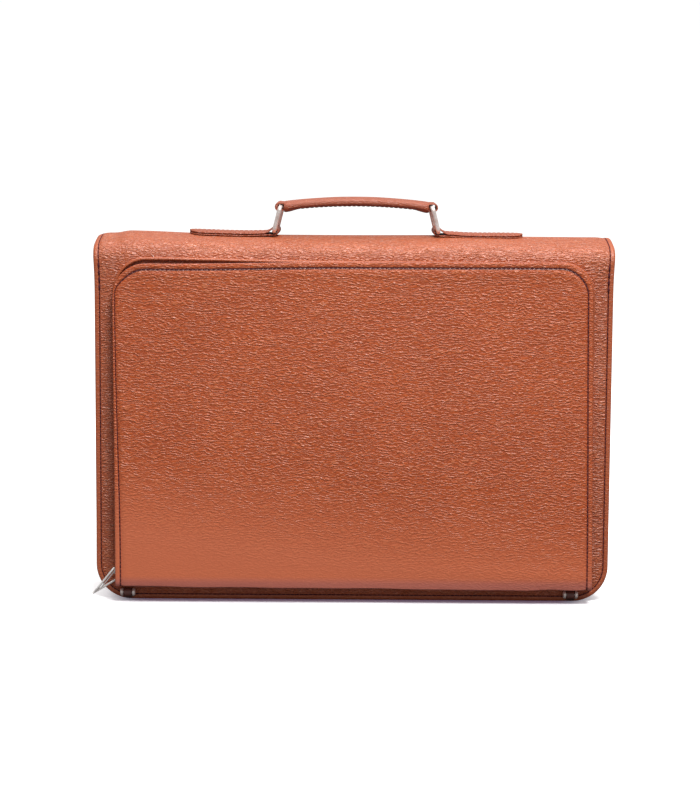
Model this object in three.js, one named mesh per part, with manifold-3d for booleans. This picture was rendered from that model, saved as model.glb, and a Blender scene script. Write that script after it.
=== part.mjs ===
// A leather file bag: a shell with a flap, a zipped pocket on its back and a handle on two rings.
// Millimetres, +Z up. The pocket faces -Y, the flap hangs on the +Y side and the bag stands on Z = 0.
import * as THREE from 'three';
import Module from 'manifold-3d';
import { mergeVertices } from 'three/addons/utils/BufferGeometryUtils.js';

const wasm = await Module();
wasm.setup();

// Shared
const clearance = 0.3; // between neighbouring pieces

// Shell: one sheet that runs up the back, over the top and down the front as the flap
const bagWidth = 391;
const bagHeight = 276.5; // floor to the crown of the top
const bagDepth = 70;
const cornerRadius = 27;
const rollRadius = 14; // where a face rolls over into the top
const domeTilt = 15; // degrees, how far the top leans down at each roll
const shellLeather = 2.2;
const flapLift = 32; // floor to the flap's lower edge
const droopLeft = 3; // how far the top sinks at its free ends
const droopRight = 0.6;
const droopReach = 26;

// Binding: the folded strip round the shell's edge
const bindingWidth = 4.9;
const bindingWall = 1.1;
const bindingRound = 0.5;

// Gusset and the wall behind the flap
const gussetInset = 6;
const gussetLeather = 2;
const gussetDrop = 4; // the sides end this far below the roll
const frontLeather = 2;
const frontDrop = 10;

// Zipped pocket on the back
const pocketMargin = 14; // beside the pocket
const pocketDrop = 15.5; // crown of the top to the pocket's upper edge
const pocketBottom = 11;
const pocketTopDepth = 8;
const pocketDepth = 16;
const pocketCorner = 25;
const pocketLeather = 2;
const pocketFold = 5; // outer radius of the fold at its bottom
const pocketTilt = 1.5; // the top edge sinks this much at its left end and rises at its right
const pocketTiltReach = 70;
const pocketBulge = 1.2;
const weltWidth = 2.4;
const weltHeight = 2.6;

// Zip
const zipInset = 10; // pocket edge to tape
const tapeThickness = 1.4;
const tapeStart = 16.5; // floor to the tape's lower ends
const teethWidth = 4;
const teethHeight = 1.3;
const teethShare = 0.6; // how far they run from the back towards the pocket's inner face
const sliderHeight = 23.2; // floor to the pull's pivot
const sliderLength = 11;
const sliderWidth = 4.8;
const sliderThickness = 2.2;
const bailReach = 3.9; // slider's face to the pull's pivot
const bailWall = 1.4;
const bailHole = 2.2; // radius
const bailWidth = 1.8;
const pullLength = 26.1;
const pullFork = 24.5; // pivot to where the two legs meet
const pullSpread = 4.6; // half the base, across the pull as seen from the back
const pullTwist = 4.2; // half the base, along Y
const pullAngle = 41.5; // degrees below the horizontal
const pullWire = 0.8;
const pullLowerWire = 1;
const pullRib = 0.45;

// Tabs, rings and handle
const handleShift = 1.8; // the handle sits this far to the right of the bag's middle
const tabLength = 67;
const tabWidth = 20;
const tabLeather = 1.3;
const tabSlit = 0.5; // between the tab's two layers
const tabRamp = 9;
const eyeSlack = 0.3; // round a ring's wire
const ringWire = 1.9; // radius
const ringGap = 0.4; // beside the tab
const ringCorner = 2.5;
const ringFoot = 61.5; // handle's middle to a ring's lower bar
const ringHead = 57; // handle's middle to a ring's upper bar
const ringRise = 18.3;
const strapWidth = 15;
const strapLeather = 1.2;
const strapBand = 2.8; // both layers together
const eyeTravel = 2; // free play of the upper bar towards the handle's end
const gripWidth = 19;
const gripHeight = 7;
const gripArch = 3.9;
const gripHalf = 55;

// Capped pins in strap loops at the foot of the back
const pinShift = -2.5;
const pinInset = 26.5; // bag's side to the pin's middle
const pinLift = 6; // floor to the pin's axis
const pinRadius = 1.7;
const capRadius = 3.5;
const capLength = 2.9;
const footStrapWidth = 5.5;
const footStrapLeather = 1.4;
const footStrapReach = 26;
const footTail = 1.1; // floor to the strap where it passes under the back

const leatherTan = 0xb05c3a;
const leatherDark = 0x5a2c20;
const nickel = 0xcfc8bf;
const degrees = THREE.MathUtils.degToRad;
const halfTurn = Math.PI;
const quarterTurn = Math.PI / 2;
const cornerSteps = 6;

const vec = (x, y, z) => new THREE.Vector3(x, y, z);
const smooth = (t) => THREE.MathUtils.smoothstep(t, 0, 1);
const mix = THREE.MathUtils.lerp;

// Mesh helpers

// A closed body from points and triangles, turned so that it faces outwards.
function bodyOf(points, triangles) {
  let volume = 0;
  for (const [a, b, c] of triangles) {
    volume += points[a].dot(points[b].clone().cross(points[c]));
  }
  const facing = volume < 0 ? triangles.map(([a, b, c]) => [a, c, b]) : triangles;
  const geometry = new THREE.BufferGeometry().setFromPoints(points);
  geometry.setIndex(facing.flat());
  return geometry;
}

// A sheet from rows of point pairs, one point on its outer face and one on its inner face.
function sheetOf(rows) {
  const columns = rows[0].length;
  const points = rows.flatMap((row) => row.flatMap((pair) => [pair.outer, pair.inner]));
  const at = (i, j, side) => (i * columns + j) * 2 + side;
  const faces = [];
  const quad = (a, b, c, d) => faces.push([a, b, c], [a, c, d]);
  const lastRow = rows.length - 1;
  const lastColumn = columns - 1;
  for (let i = 0; i < lastRow; i++) {
    for (let j = 0; j < lastColumn; j++) {
      quad(at(i, j, 0), at(i, j + 1, 0), at(i + 1, j + 1, 0), at(i + 1, j, 0));
      quad(at(i, j, 1), at(i + 1, j, 1), at(i + 1, j + 1, 1), at(i, j + 1, 1));
    }
    quad(at(i, 0, 0), at(i + 1, 0, 0), at(i + 1, 0, 1), at(i, 0, 1));
    quad(at(i, lastColumn, 0), at(i, lastColumn, 1), at(i + 1, lastColumn, 1), at(i + 1, lastColumn, 0));
  }
  for (let j = 0; j < lastColumn; j++) {
    quad(at(0, j, 0), at(0, j, 1), at(0, j + 1, 1), at(0, j + 1, 0));
    quad(at(lastRow, j, 0), at(lastRow, j + 1, 0), at(lastRow, j + 1, 1), at(lastRow, j, 1));
  }
  return bodyOf(points, faces);
}

// A section of [out, up] points, drawn counterclockwise, carried along frames.
function sweep(frames, section, closed) {
  const count = section.length;
  const points = frames.flatMap((frame) =>
    section.map(([a, b]) => frame.at.clone().addScaledVector(frame.out, a).addScaledVector(frame.up, b)),
  );
  const faces = [];
  const steps = closed ? frames.length : frames.length - 1;
  for (let i = 0; i < steps; i++) {
    const near = i * count;
    const far = ((i + 1) % frames.length) * count;
    for (let k = 0; k < count; k++) {
      const next = (k + 1) % count;
      faces.push([near + k, near + next, far + next], [near + k, far + next, far + k]);
    }
  }
  if (!closed) {
    const end = (frames.length - 1) * count;
    const outline = section.map(([a, b]) => new THREE.Vector2(a, b));
    for (const [a, b, c] of THREE.ShapeUtils.triangulateShape(outline, [])) {
      faces.push([c, b, a], [end + a, end + b, end + c]);
    }
  }
  return bodyOf(points, faces);
}

// A rounded section with the given half sizes; power 2 is an ellipse and more is squarer.
function roundSection(halfOut, halfUp, sides, power = 2) {
  return Array.from({ length: sides }, (_, k) => {
    const angle = (k / sides) * 2 * halfTurn;
    const bend = (value) => Math.sign(value) * Math.abs(value) ** (2 / power);
    return [halfOut * bend(Math.cos(angle)), halfUp * bend(Math.sin(angle))];
  });
}

// A shape drawn in X and Z, given a width along Y.
function acrossY(shape, width, y = 0) {
  const settings = { depth: width, bevelEnabled: false, curveSegments: 8 };
  const geometry = new THREE.ExtrudeGeometry(shape, settings);
  return geometry.translate(0, 0, -width / 2).rotateX(quarterTurn).translate(0, y, 0);
}

// A shape drawn in Y and Z, given a width along X.
function acrossX(shape, width, x = 0) {
  const settings = { depth: width, bevelEnabled: false, curveSegments: 8 };
  const geometry = new THREE.ExtrudeGeometry(shape, settings);
  return geometry.translate(0, 0, -width / 2).rotateX(quarterTurn).rotateZ(quarterTurn).translate(x, 0, 0);
}

function solidOf(geometry) {
  const bare = geometry.index ? geometry.toNonIndexed() : geometry.clone();
  bare.deleteAttribute('normal');
  bare.deleteAttribute('uv');
  const merged = mergeVertices(bare, 1e-4);
  const vertProperties = merged.attributes.position.array;
  const triVerts = new Uint32Array(merged.index.array);
  return new wasm.Manifold(new wasm.Mesh({ numProp: 3, vertProperties, triVerts }));
}

function geometryOf(solid) {
  const mesh = solid.getMesh();
  const geometry = new THREE.BufferGeometry();
  geometry.setAttribute('position', new THREE.BufferAttribute(mesh.vertProperties, 3));
  geometry.setIndex(new THREE.BufferAttribute(mesh.triVerts, 1));
  return geometry;
}

// A box between two corners.
function boxBetween(low, high) {
  const size = high.clone().sub(low);
  const centre = low.clone().add(high).multiplyScalar(0.5);
  return new THREE.BoxGeometry(size.x, size.y, size.z).translate(centre.x, centre.y, centre.z);
}

// A round rod between two points.
function rodBetween(from, to, radius, sides = 10) {
  const along = to.clone().sub(from);
  const turn = new THREE.Quaternion().setFromUnitVectors(vec(0, 1, 0), along.clone().normalize());
  const centre = from.clone().add(to).multiplyScalar(0.5);
  const rod = new THREE.CylinderGeometry(radius, radius, along.length(), sides);
  return rod.applyQuaternion(turn).translate(centre.x, centre.y, centre.z);
}

const ballAt = (point, radius) => new THREE.SphereGeometry(radius, 10, 6).translate(point.x, point.y, point.z);

// Shell geometry

const tilt = degrees(domeTilt);
const domeRadius = rollRadius + (bagDepth / 2 - rollRadius) / Math.sin(tilt);
const domeDrop = (domeRadius - rollRadius) * Math.cos(tilt);
const rollHeight = bagHeight - rollRadius - (domeRadius - rollRadius - domeDrop);
const sheetInset = bindingWall + clearance; // the shell's own edge lies inside the binding
const sheetRadius = cornerRadius - sheetInset;
const sheetHalf = bagWidth / 2 - sheetInset;

// The arcs of the shell's side profile, in order from the back to the flap; angles in degrees.
const topArcs = [
  { y: rollRadius, z: rollHeight, radius: rollRadius, from: 180, to: 90 + domeTilt, steps: 5 },
  { y: bagDepth / 2, z: rollHeight - domeDrop, radius: domeRadius, from: 90 + domeTilt, to: 90 - domeTilt, steps: 4 },
  { y: bagDepth - rollRadius, z: rollHeight, radius: rollRadius, from: 90 - domeTilt, to: 0, steps: 5 },
];

// Stations up the back, over the top and down the flap. toEdge is the distance to the sheet's end.
function shellStations() {
  const straightRows = 3;
  const rise = (edge, y, ny) => {
    const corner = Array.from({ length: cornerSteps + 1 }, (_, k) => {
      const toEdge = sheetRadius * (1 - Math.cos((k / cornerSteps) * quarterTurn));
      return { y, z: edge + toEdge, ny, nz: 0, toEdge };
    });
    const first = edge + sheetRadius;
    const straight = Array.from({ length: straightRows }, (_, k) => {
      const z = mix(first, rollHeight, (k + 1) / (straightRows + 1));
      return { y, z, ny, nz: 0, toEdge: z - edge };
    });
    return [...corner, ...straight];
  };
  const top = topArcs.flatMap((arc, index) => {
    const skip = index === 0 ? 0 : 1;
    return Array.from({ length: arc.steps + 1 - skip }, (_, k) => {
      const angle = degrees(mix(arc.from, arc.to, (k + skip) / arc.steps));
      const ny = Math.cos(angle);
      const nz = Math.sin(angle);
      return { y: arc.y + arc.radius * ny, z: arc.z + arc.radius * nz, ny, nz, toEdge: Infinity };
    });
  });
  return [...rise(sheetInset, 0, -1), ...top, ...rise(flapLift + sheetInset, bagDepth, 1).reverse()];
}

// Half the width of a rounded sheet at a distance from its straight end.
function halfWidthAt(toEdge, half, radius) {
  if (toEdge >= radius) return half;
  return half - radius + Math.sqrt(radius ** 2 - (radius - toEdge) ** 2);
}

// How far the top has sunk at x. It is level again under the binding.
function droopAt(x, station) {
  const amount = x < 0 ? droopLeft : droopRight;
  const reach = (Math.abs(x) - (bagWidth / 2 - droopReach)) / (droopReach - bindingWidth);
  return amount * smooth(reach) * Math.max(0, station.nz);
}

// A point over the shell's outer face, at x and a station, raised by lift.
function onShell(x, station, lift) {
  const z = station.z + station.nz * lift - droopAt(x, station);
  return vec(x, station.y + station.ny * lift, z);
}

// The feet's straps pass under the back through these notches.
function footNotches() {
  return pinPlaces().map((x) => {
    const half = footStrapWidth / 2 + clearance;
    const top = footStrapTop() + clearance;
    return solidOf(boxBetween(vec(x - half, -2 * sheetInset, -1), vec(x + half, shellLeather + 2 * sheetInset, top)));
  });
}

const cutBy = (geometry, cutters) => geometryOf(cutters.reduce((kept, cutter) => kept.subtract(cutter), solidOf(geometry)));

function shellSheet() {
  const slope = (share) => mix(bindingWidth, droopReach, share) - sheetInset;
  const insets = [0, slope(0), slope(0.2), slope(0.4), slope(0.6), slope(0.8), slope(1)];
  const rows = shellStations().map((station) => {
    const half = halfWidthAt(station.toEdge, sheetHalf, sheetRadius);
    const left = insets.map((inset) => inset - half);
    const right = insets.map((inset) => half - inset).reverse();
    return [...left, 0, ...right].map((x) => ({
      outer: onShell(x, station, 0),
      inner: onShell(x, station, -shellLeather),
    }));
  });
  return cutBy(sheetOf(rows), footNotches());
}

function edgeBinding() {
  const stations = shellStations();
  const side = (sign) => stations.map((station) => {
    const half = halfWidthAt(station.toEdge, sheetHalf, sheetRadius);
    const down = Math.max(0, sheetRadius - station.toEdge) / sheetRadius;
    return {
      at: onShell(sign * half, station, 0),
      out: vec(sign * Math.sqrt(1 - down ** 2), 0, -down),
      up: vec(0, station.ny, station.nz),
    };
  });
  const inner = -(bindingWidth - sheetInset);
  const low = -shellLeather - clearance;
  const wall = sheetInset;
  const section = [
    [inner, clearance],
    [clearance, clearance],
    [clearance, low],
    [inner, low],
    [inner, low - bindingWall],
    [wall - bindingRound, low - bindingWall],
    [wall, low - bindingWall + bindingRound],
    [wall, wall - bindingRound],
    [wall - bindingRound, wall],
    [inner, wall],
  ];
  return cutBy(sweep([...side(1), ...side(-1).reverse()], section, true), footNotches());
}

// Gusset and front wall

const flapInside = bagDepth - shellLeather;
const frontOuter = flapInside - clearance - bindingWall - clearance;
const frontInner = frontOuter - frontLeather;

// Draws the bag's U outline, inset from its edge, onto a shape; back draws it from right to left.
function drawU(shape, inset, top, back) {
  const half = bagWidth / 2 - inset;
  const radius = cornerRadius - inset;
  const low = inset + radius;
  if (back) {
    shape.lineTo(half, top);
    shape.absarc(half - radius, low, radius, 0, -quarterTurn, true);
    shape.absarc(radius - half, low, radius, -quarterTurn, -halfTurn, true);
    shape.lineTo(-half, top);
  } else {
    shape.moveTo(-half, top);
    shape.absarc(radius - half, low, radius, halfTurn, 1.5 * halfTurn, false);
    shape.absarc(half - radius, low, radius, 1.5 * halfTurn, 2 * halfTurn, false);
    shape.lineTo(half, top);
  }
  return shape;
}

function gusset() {
  const top = rollHeight - gussetDrop;
  const shape = drawU(new THREE.Shape(), gussetInset, top, false);
  drawU(shape, gussetInset + gussetLeather, top, true);
  const from = shellLeather + clearance;
  const to = frontInner - clearance;
  return acrossY(shape, to - from, (from + to) / 2);
}

function frontWall() {
  const shape = drawU(new THREE.Shape(), 0, rollHeight - frontDrop, false);
  return acrossY(shape, frontLeather, (frontInner + frontOuter) / 2);
}

// Pocket

const pocketHalf = bagWidth / 2 - pocketMargin;
const pocketTop = bagHeight - pocketDrop;
const foldHeight = pocketBottom + pocketFold;

// How far the pocket's outer face stands off the shell at height z.
function pocketDepthAt(z) {
  if (z >= foldHeight) return mix(pocketDepth, pocketTopDepth, (z - foldHeight) / (pocketTop - foldHeight));
  return pocketDepth - pocketFold + Math.sqrt(pocketFold ** 2 - (foldHeight - z) ** 2);
}

// The y of the pocket's inner face at height z.
function pocketInsideAt(z) {
  if (z >= foldHeight) return pocketLeather - pocketDepthAt(z);
  return pocketFold - pocketDepth - Math.sqrt((pocketFold - pocketLeather) ** 2 - (foldHeight - z) ** 2);
}

// Stations from the pocket's top edge down its face and round the fold to the shell.
function pocketStations() {
  const faceRows = 5;
  const foldSteps = 5;
  const corner = Array.from({ length: cornerSteps + 1 }, (_, k) => {
    const toEdge = pocketCorner * (1 - Math.cos((k / cornerSteps) * quarterTurn));
    return { z: pocketTop - toEdge, toEdge };
  });
  const face = Array.from({ length: faceRows }, (_, k) => {
    const z = mix(pocketTop - pocketCorner, foldHeight, (k + 1) / (faceRows + 1));
    return { z, toEdge: pocketTop - z };
  });
  const flat = [...corner, ...face].map((row) => ({ ...row, y: -pocketDepthAt(row.z), ny: -1, nz: 0 }));
  const fold = Array.from({ length: foldSteps + 1 }, (_, k) => {
    const angle = halfTurn + (k / foldSteps) * quarterTurn;
    const ny = Math.cos(angle);
    const nz = Math.sin(angle);
    const y = pocketFold - pocketDepth + pocketFold * ny;
    return { y, z: foldHeight + pocketFold * nz, ny, nz, toEdge: Infinity };
  });
  const hem = { y: -clearance, z: pocketBottom, ny: 0, nz: -1, toEdge: Infinity };
  return [...flat, ...fold, hem];
}

function pocketFront() {
  const shares = [0, 0.04, 0.12, 0.3, 0.6];
  const rows = pocketStations().map((station) => {
    const half = halfWidthAt(station.toEdge, pocketHalf, pocketCorner);
    const left = shares.map((share) => -half * (1 - share));
    const columns = [...left, 0, ...left.map((x) => -x).reverse()];
    const sink = smooth(1 - station.toEdge / pocketTiltReach);
    const rows = Math.sin(halfTurn * THREE.MathUtils.clamp((pocketTop - station.z) / (pocketTop - foldHeight), 0, 1));
    return columns.map((x) => {
      const across = 1 - (x / pocketHalf) ** 2;
      const bulge = station.nz === 0 ? pocketBulge * rows * smooth(across) : 0;
      const rise = pocketTilt * sink * (x / pocketHalf);
      const point = (lift) => vec(x, station.y + station.ny * lift - bulge, station.z + station.nz * lift + rise);
      return { outer: point(0), inner: point(-pocketLeather) };
    });
  });
  return sheetOf(rows);
}

// Frames round the pocket's left side, top and right side, inset from its edge. out points away from it.
function pocketRim(inset, start) {
  const half = pocketHalf - inset;
  const top = pocketTop - inset;
  const radius = pocketCorner - inset;
  const left = [start, (start + foldHeight) / 2, foldHeight, mix(foldHeight, top - radius, 0.5)]
    .filter((z, k, all) => k === 0 || z > all[k - 1] + clearance)
    .map((z) => ({ x: -half, z, angle: halfTurn }));
  const corner = Array.from({ length: cornerSteps + 1 }, (_, k) => {
    const angle = halfTurn - (k / cornerSteps) * quarterTurn;
    return { x: radius - half + radius * Math.cos(angle), z: top - radius + radius * Math.sin(angle), angle };
  });
  const leftSide = [...left, ...corner];
  const rightSide = leftSide.map(({ x, z, angle }) => ({ x: -x, z, angle: halfTurn - angle })).reverse();
  return [...leftSide, ...rightSide].map(({ x, z, angle }) => ({
    at: vec(x, 0, z),
    out: vec(Math.cos(angle), 0, Math.sin(angle)),
    up: vec(0, -1, 0),
  }));
}

function pocketWelt() {
  const base = clearance;
  const section = [
    [0, base],
    [0, base + weltHeight - bindingRound],
    [-bindingRound, base + weltHeight],
    [bindingRound - weltWidth, base + weltHeight],
    [-weltWidth, base + weltHeight - bindingRound],
    [-weltWidth, base],
  ];
  return sweep(pocketRim(0, foldHeight), section, false);
}

function zipTape() {
  const rows = pocketRim(zipInset, tapeStart).map(({ at, out }) => {
    const edges = [-clearance, pocketInsideAt(at.z) + clearance];
    return edges.map((y) => {
      const outer = vec(at.x, y, at.z);
      return { outer, inner: outer.clone().addScaledVector(out, -tapeThickness) };
    });
  });
  return sheetOf(rows);
}

function zipTeeth() {
  const half = teethWidth / 2;
  const start = sliderHeight + sliderLength / 2 + clearance;
  const frames = pocketRim(zipInset - clearance, start).map((frame) => {
    const at = frame.at.clone().setY(pocketInsideAt(frame.at.z) * teethShare);
    return { ...frame, at };
  });
  const section = [
    [0, half],
    [0, -half],
    [teethHeight - bindingRound, -half],
    [teethHeight, bindingRound - half],
    [teethHeight, half - bindingRound],
    [teethHeight - bindingRound, half],
  ];
  return sweep(frames, section, false);
}

// The zip's slider sits at the foot of the left side and its pull hangs from the bail.
const sliderFace = -(pocketHalf - zipInset) - clearance;
const pivotDepth = pocketInsideAt(sliderHeight) * teethShare;
const pivot = vec(sliderFace - sliderThickness - bailReach, pivotDepth, sliderHeight);

function zipSlider() {
  const from = vec(sliderFace - sliderThickness, pivot.y - sliderWidth / 2, sliderHeight - sliderLength / 2);
  const to = vec(sliderFace, pivot.y + sliderWidth / 2, sliderHeight + sliderLength / 2);
  const bail = new THREE.Shape().absarc(pivot.x, pivot.z, bailHole + bailWall, 0, 2 * halfTurn, false);
  const neckFrom = vec(pivot.x, pivot.y - bailWidth / 2, sliderHeight - bailHole);
  const neckTo = vec(from.x + sliderThickness / 2, pivot.y + bailWidth / 2, sliderHeight + bailHole);
  const hole = new THREE.Shape().absarc(pivot.x, pivot.z, bailHole, 0, 2 * halfTurn, false);
  const ring = solidOf(acrossY(bail, bailWidth, pivot.y));
  const cut = solidOf(acrossY(hole, sliderWidth * 2, pivot.y));
  const neck = solidOf(boxBetween(neckFrom, neckTo));
  return geometryOf(solidOf(boxBetween(from, to)).add(neck).add(ring).subtract(cut));
}

// An open fork of wire: a bar through the bail, two legs that meet and a short tail.
function zipPull() {
  const angle = degrees(pullAngle);
  const along = vec(-Math.cos(angle), 0, -Math.sin(angle));
  const base = vec(-Math.sin(angle), 0, Math.cos(angle)).multiplyScalar(pullSpread);
  base.y = -pullTwist;
  const upper = pivot.clone().add(base);
  const lower = pivot.clone().sub(base);
  const fork = pivot.clone().addScaledVector(along, pullFork);
  const tip = pivot.clone().addScaledVector(along, pullLength);
  const ribTop = upper.clone().lerp(lower, 0.2);
  const ribEnd = lower.clone().lerp(fork, 0.8);
  const wires = [
    { from: upper, to: lower, radius: pullWire },
    { from: upper, to: fork, radius: pullWire },
    { from: lower, to: fork, radius: pullLowerWire },
    { from: fork, to: tip, radius: pullWire },
    { from: ribTop, to: ribEnd, radius: pullRib },
  ];
  const balls = [upper, lower, fork, tip].map((point) => ballAt(point, pullWire * 1.02));
  const rods = wires.map(({ from, to, radius }) => rodBetween(from, to, radius));
  return geometryOf([...rods, ...balls].map(solidOf).reduce((all, piece) => all.add(piece)));
}

// Tabs, rings and handle

const eyeRadius = ringWire + eyeSlack;
const footHeight = bagHeight + clearance + tabLeather + eyeRadius;
const headHeight = footHeight + ringRise;
const handleDepth = bagDepth / 2;

// A strap folded round the ring's lower bar, drawn for the right side with the bar at the origin.
function tabShape() {
  const outer = eyeRadius + tabLeather;
  const layer = tabSlit - eyeRadius;
  const shape = new THREE.Shape();
  shape.moveTo(tabLength, -outer);
  shape.lineTo(tabLength, -eyeRadius);
  shape.absarc(0, 0, eyeRadius, -quarterTurn, -1.5 * halfTurn, true);
  shape.lineTo(tabRamp, layer);
  shape.lineTo(tabLength, layer);
  shape.lineTo(tabLength, layer + tabLeather);
  shape.lineTo(tabRamp, layer + tabLeather);
  shape.absarc(0, 0, outer, quarterTurn, 1.5 * halfTurn, false);
  return shape;
}

function tab(side) {
  const end = tabWidth / 2;
  const plan = new THREE.Shape();
  plan.moveTo(-2 * end, -end);
  plan.absarc(tabLength - end, 0, end, -quarterTurn, quarterTurn, false);
  plan.lineTo(-2 * end, end);
  const settings = { depth: 4 * eyeRadius + 4 * tabLeather, bevelEnabled: false, curveSegments: 8 };
  const outline = new THREE.ExtrudeGeometry(plan, settings).translate(0, 0, -settings.depth / 2);
  const strap = geometryOf(solidOf(acrossY(tabShape(), tabWidth)).intersect(solidOf(outline)));
  const turned = side < 0 ? strap.rotateZ(halfTurn) : strap;
  return turned.translate(handleShift + side * ringFoot, handleDepth, footHeight);
}

function ring(side) {
  const foot = vec(handleShift + side * ringFoot, handleDepth, footHeight);
  const head = vec(handleShift + side * ringHead, handleDepth, headHeight);
  const lean = head.clone().sub(foot);
  const length = lean.length();
  lean.normalize();
  const half = tabWidth / 2 + ringGap + ringWire;
  const corners = [
    { y: half - ringCorner, r: ringCorner, from: -90 },
    { y: half - ringCorner, r: length - ringCorner, from: 0 },
    { y: ringCorner - half, r: length - ringCorner, from: 90 },
    { y: ringCorner - half, r: ringCorner, from: 180 },
  ];
  const steps = 4;
  const frames = corners.flatMap((corner) => Array.from({ length: steps + 1 }, (_, k) => {
    const angle = degrees(corner.from + (90 * k) / steps);
    const out = vec(0, Math.cos(angle), 0).addScaledVector(lean, Math.sin(angle));
    const centre = foot.clone().addScaledVector(lean, corner.r).add(vec(0, corner.y, 0));
    return { at: centre.addScaledVector(out, ringCorner), out, up: lean.clone().cross(vec(0, 1, 0)) };
  }));
  return sweep(frames, roundSection(ringWire, ringWire, 10), true);
}

const gripLine = (x) => headHeight + gripArch * (1 - (x / ringHead) ** 2);

// The strap through the grip with an eye at each end; grow adds to it all round and fills the eyes.
function strapSolid(grow) {
  const steps = 12;
  const reach = ringHead + eyeSlack;
  const half = strapBand / 2 + grow;
  const line = Array.from({ length: steps + 1 }, (_, k) => mix(-reach, reach, k / steps));
  const upper = line.map((x) => new THREE.Vector2(x, gripLine(x) + half));
  const lower = line.map((x) => new THREE.Vector2(x, gripLine(x) - half)).reverse();
  const width = strapWidth + 2 * grow;
  const slot = (centre, travel, radius) => {
    const shape = new THREE.Shape();
    shape.absarc(centre + travel, headHeight, radius, -quarterTurn, quarterTurn, false);
    shape.absarc(centre, headHeight, radius, quarterTurn, 1.5 * halfTurn, false);
    return shape;
  };
  let strap = solidOf(acrossY(new THREE.Shape([...lower, ...upper]), width));
  for (const side of [-1, 1]) {
    const centre = side < 0 ? -ringHead - eyeTravel : ringHead;
    strap = strap.add(solidOf(acrossY(slot(centre, eyeTravel, eyeRadius + strapLeather + grow), width)));
    if (grow === 0) strap = strap.subtract(solidOf(acrossY(slot(centre, eyeTravel, eyeRadius), 2 * width)));
  }
  return strap;
}

const placeHandle = (geometry) => geometry.translate(handleShift, handleDepth, 0);

const handleStrap = () => placeHandle(geometryOf(strapSolid(0)));

function handleGrip() {
  const steps = 14;
  const frames = Array.from({ length: steps + 1 }, (_, k) => {
    const x = mix(-gripHalf, gripHalf, k / steps);
    return { at: vec(x, 0, gripLine(x)), out: vec(0, 0, 1), up: vec(0, 1, 0) };
  });
  const sleeve = solidOf(sweep(frames, roundSection(gripHeight / 2, gripWidth / 2, 18, 3), false));
  return placeHandle(geometryOf(sleeve.subtract(strapSolid(clearance))));
}

// Feet

const loopRadius = pinRadius + clearance + footStrapLeather;
const pinDepth = -sheetInset - clearance - Math.max(capRadius, loopRadius);
const footStrapTop = () => footTail + footStrapLeather;
const pinPlaces = () => [-1, 1].map((side) => pinShift + side * (bagWidth / 2 - pinInset));

function basePin(x) {
  const half = footStrapWidth / 2 + clearance;
  const end = half + capLength;
  const profile = [
    [0, -end],
    [capRadius - bindingRound, -end],
    [capRadius, bindingRound - end],
    [capRadius, -half - bindingRound],
    [capRadius - bindingRound, -half],
    [pinRadius, -half],
    [pinRadius, half],
    [capRadius - bindingRound, half],
    [capRadius, half + bindingRound],
    [capRadius, end - bindingRound],
    [capRadius - bindingRound, end],
    [0, end],
  ];
  const points = profile.map(([r, along]) => new THREE.Vector2(r, along));
  return new THREE.LatheGeometry(points, 16).rotateZ(-quarterTurn).translate(x, pinDepth, pinLift);
}

// A loop round the pin whose tail runs under the back and lies along the gusset's underside.
function footStrap(x) {
  const low = pinLift - loopRadius;
  const under = gussetInset - clearance - footStrapLeather;
  const bend = shellLeather + sheetInset + clearance;
  const front = -sheetInset - clearance;
  const loop = new THREE.Shape().absarc(pinDepth, pinLift, loopRadius, 0, 2 * halfTurn, false);
  const hole = new THREE.Shape().absarc(pinDepth, pinLift, pinRadius + clearance, 0, 2 * halfTurn, false);
  const tail = new THREE.Shape();
  tail.moveTo(pinDepth, low);
  tail.lineTo(front, footTail);
  tail.lineTo(bend + footStrapLeather, footTail);
  tail.lineTo(bend + footStrapLeather * 4, under);
  tail.lineTo(footStrapReach, under);
  tail.lineTo(footStrapReach, under + footStrapLeather);
  tail.lineTo(bend + footStrapLeather * 3, under + footStrapLeather);
  tail.lineTo(bend, footStrapTop());
  tail.lineTo(front, footStrapTop());
  tail.lineTo(pinDepth, low + footStrapLeather);
  const strap = solidOf(acrossX(loop, footStrapWidth, x)).add(solidOf(acrossX(tail, footStrapWidth, x)));
  return geometryOf(strap.subtract(solidOf(acrossX(hole, 2 * footStrapWidth, x))));
}

// Assembly

const leather = (color) => new THREE.MeshStandardMaterial({ color, roughness: 0.55, metalness: 0 });
const metal = () => new THREE.MeshStandardMaterial({ color: nickel, roughness: 0.3, metalness: 1 });
const cloth = () => new THREE.MeshStandardMaterial({ color: leatherDark, roughness: 0.9, metalness: 0 });

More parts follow.
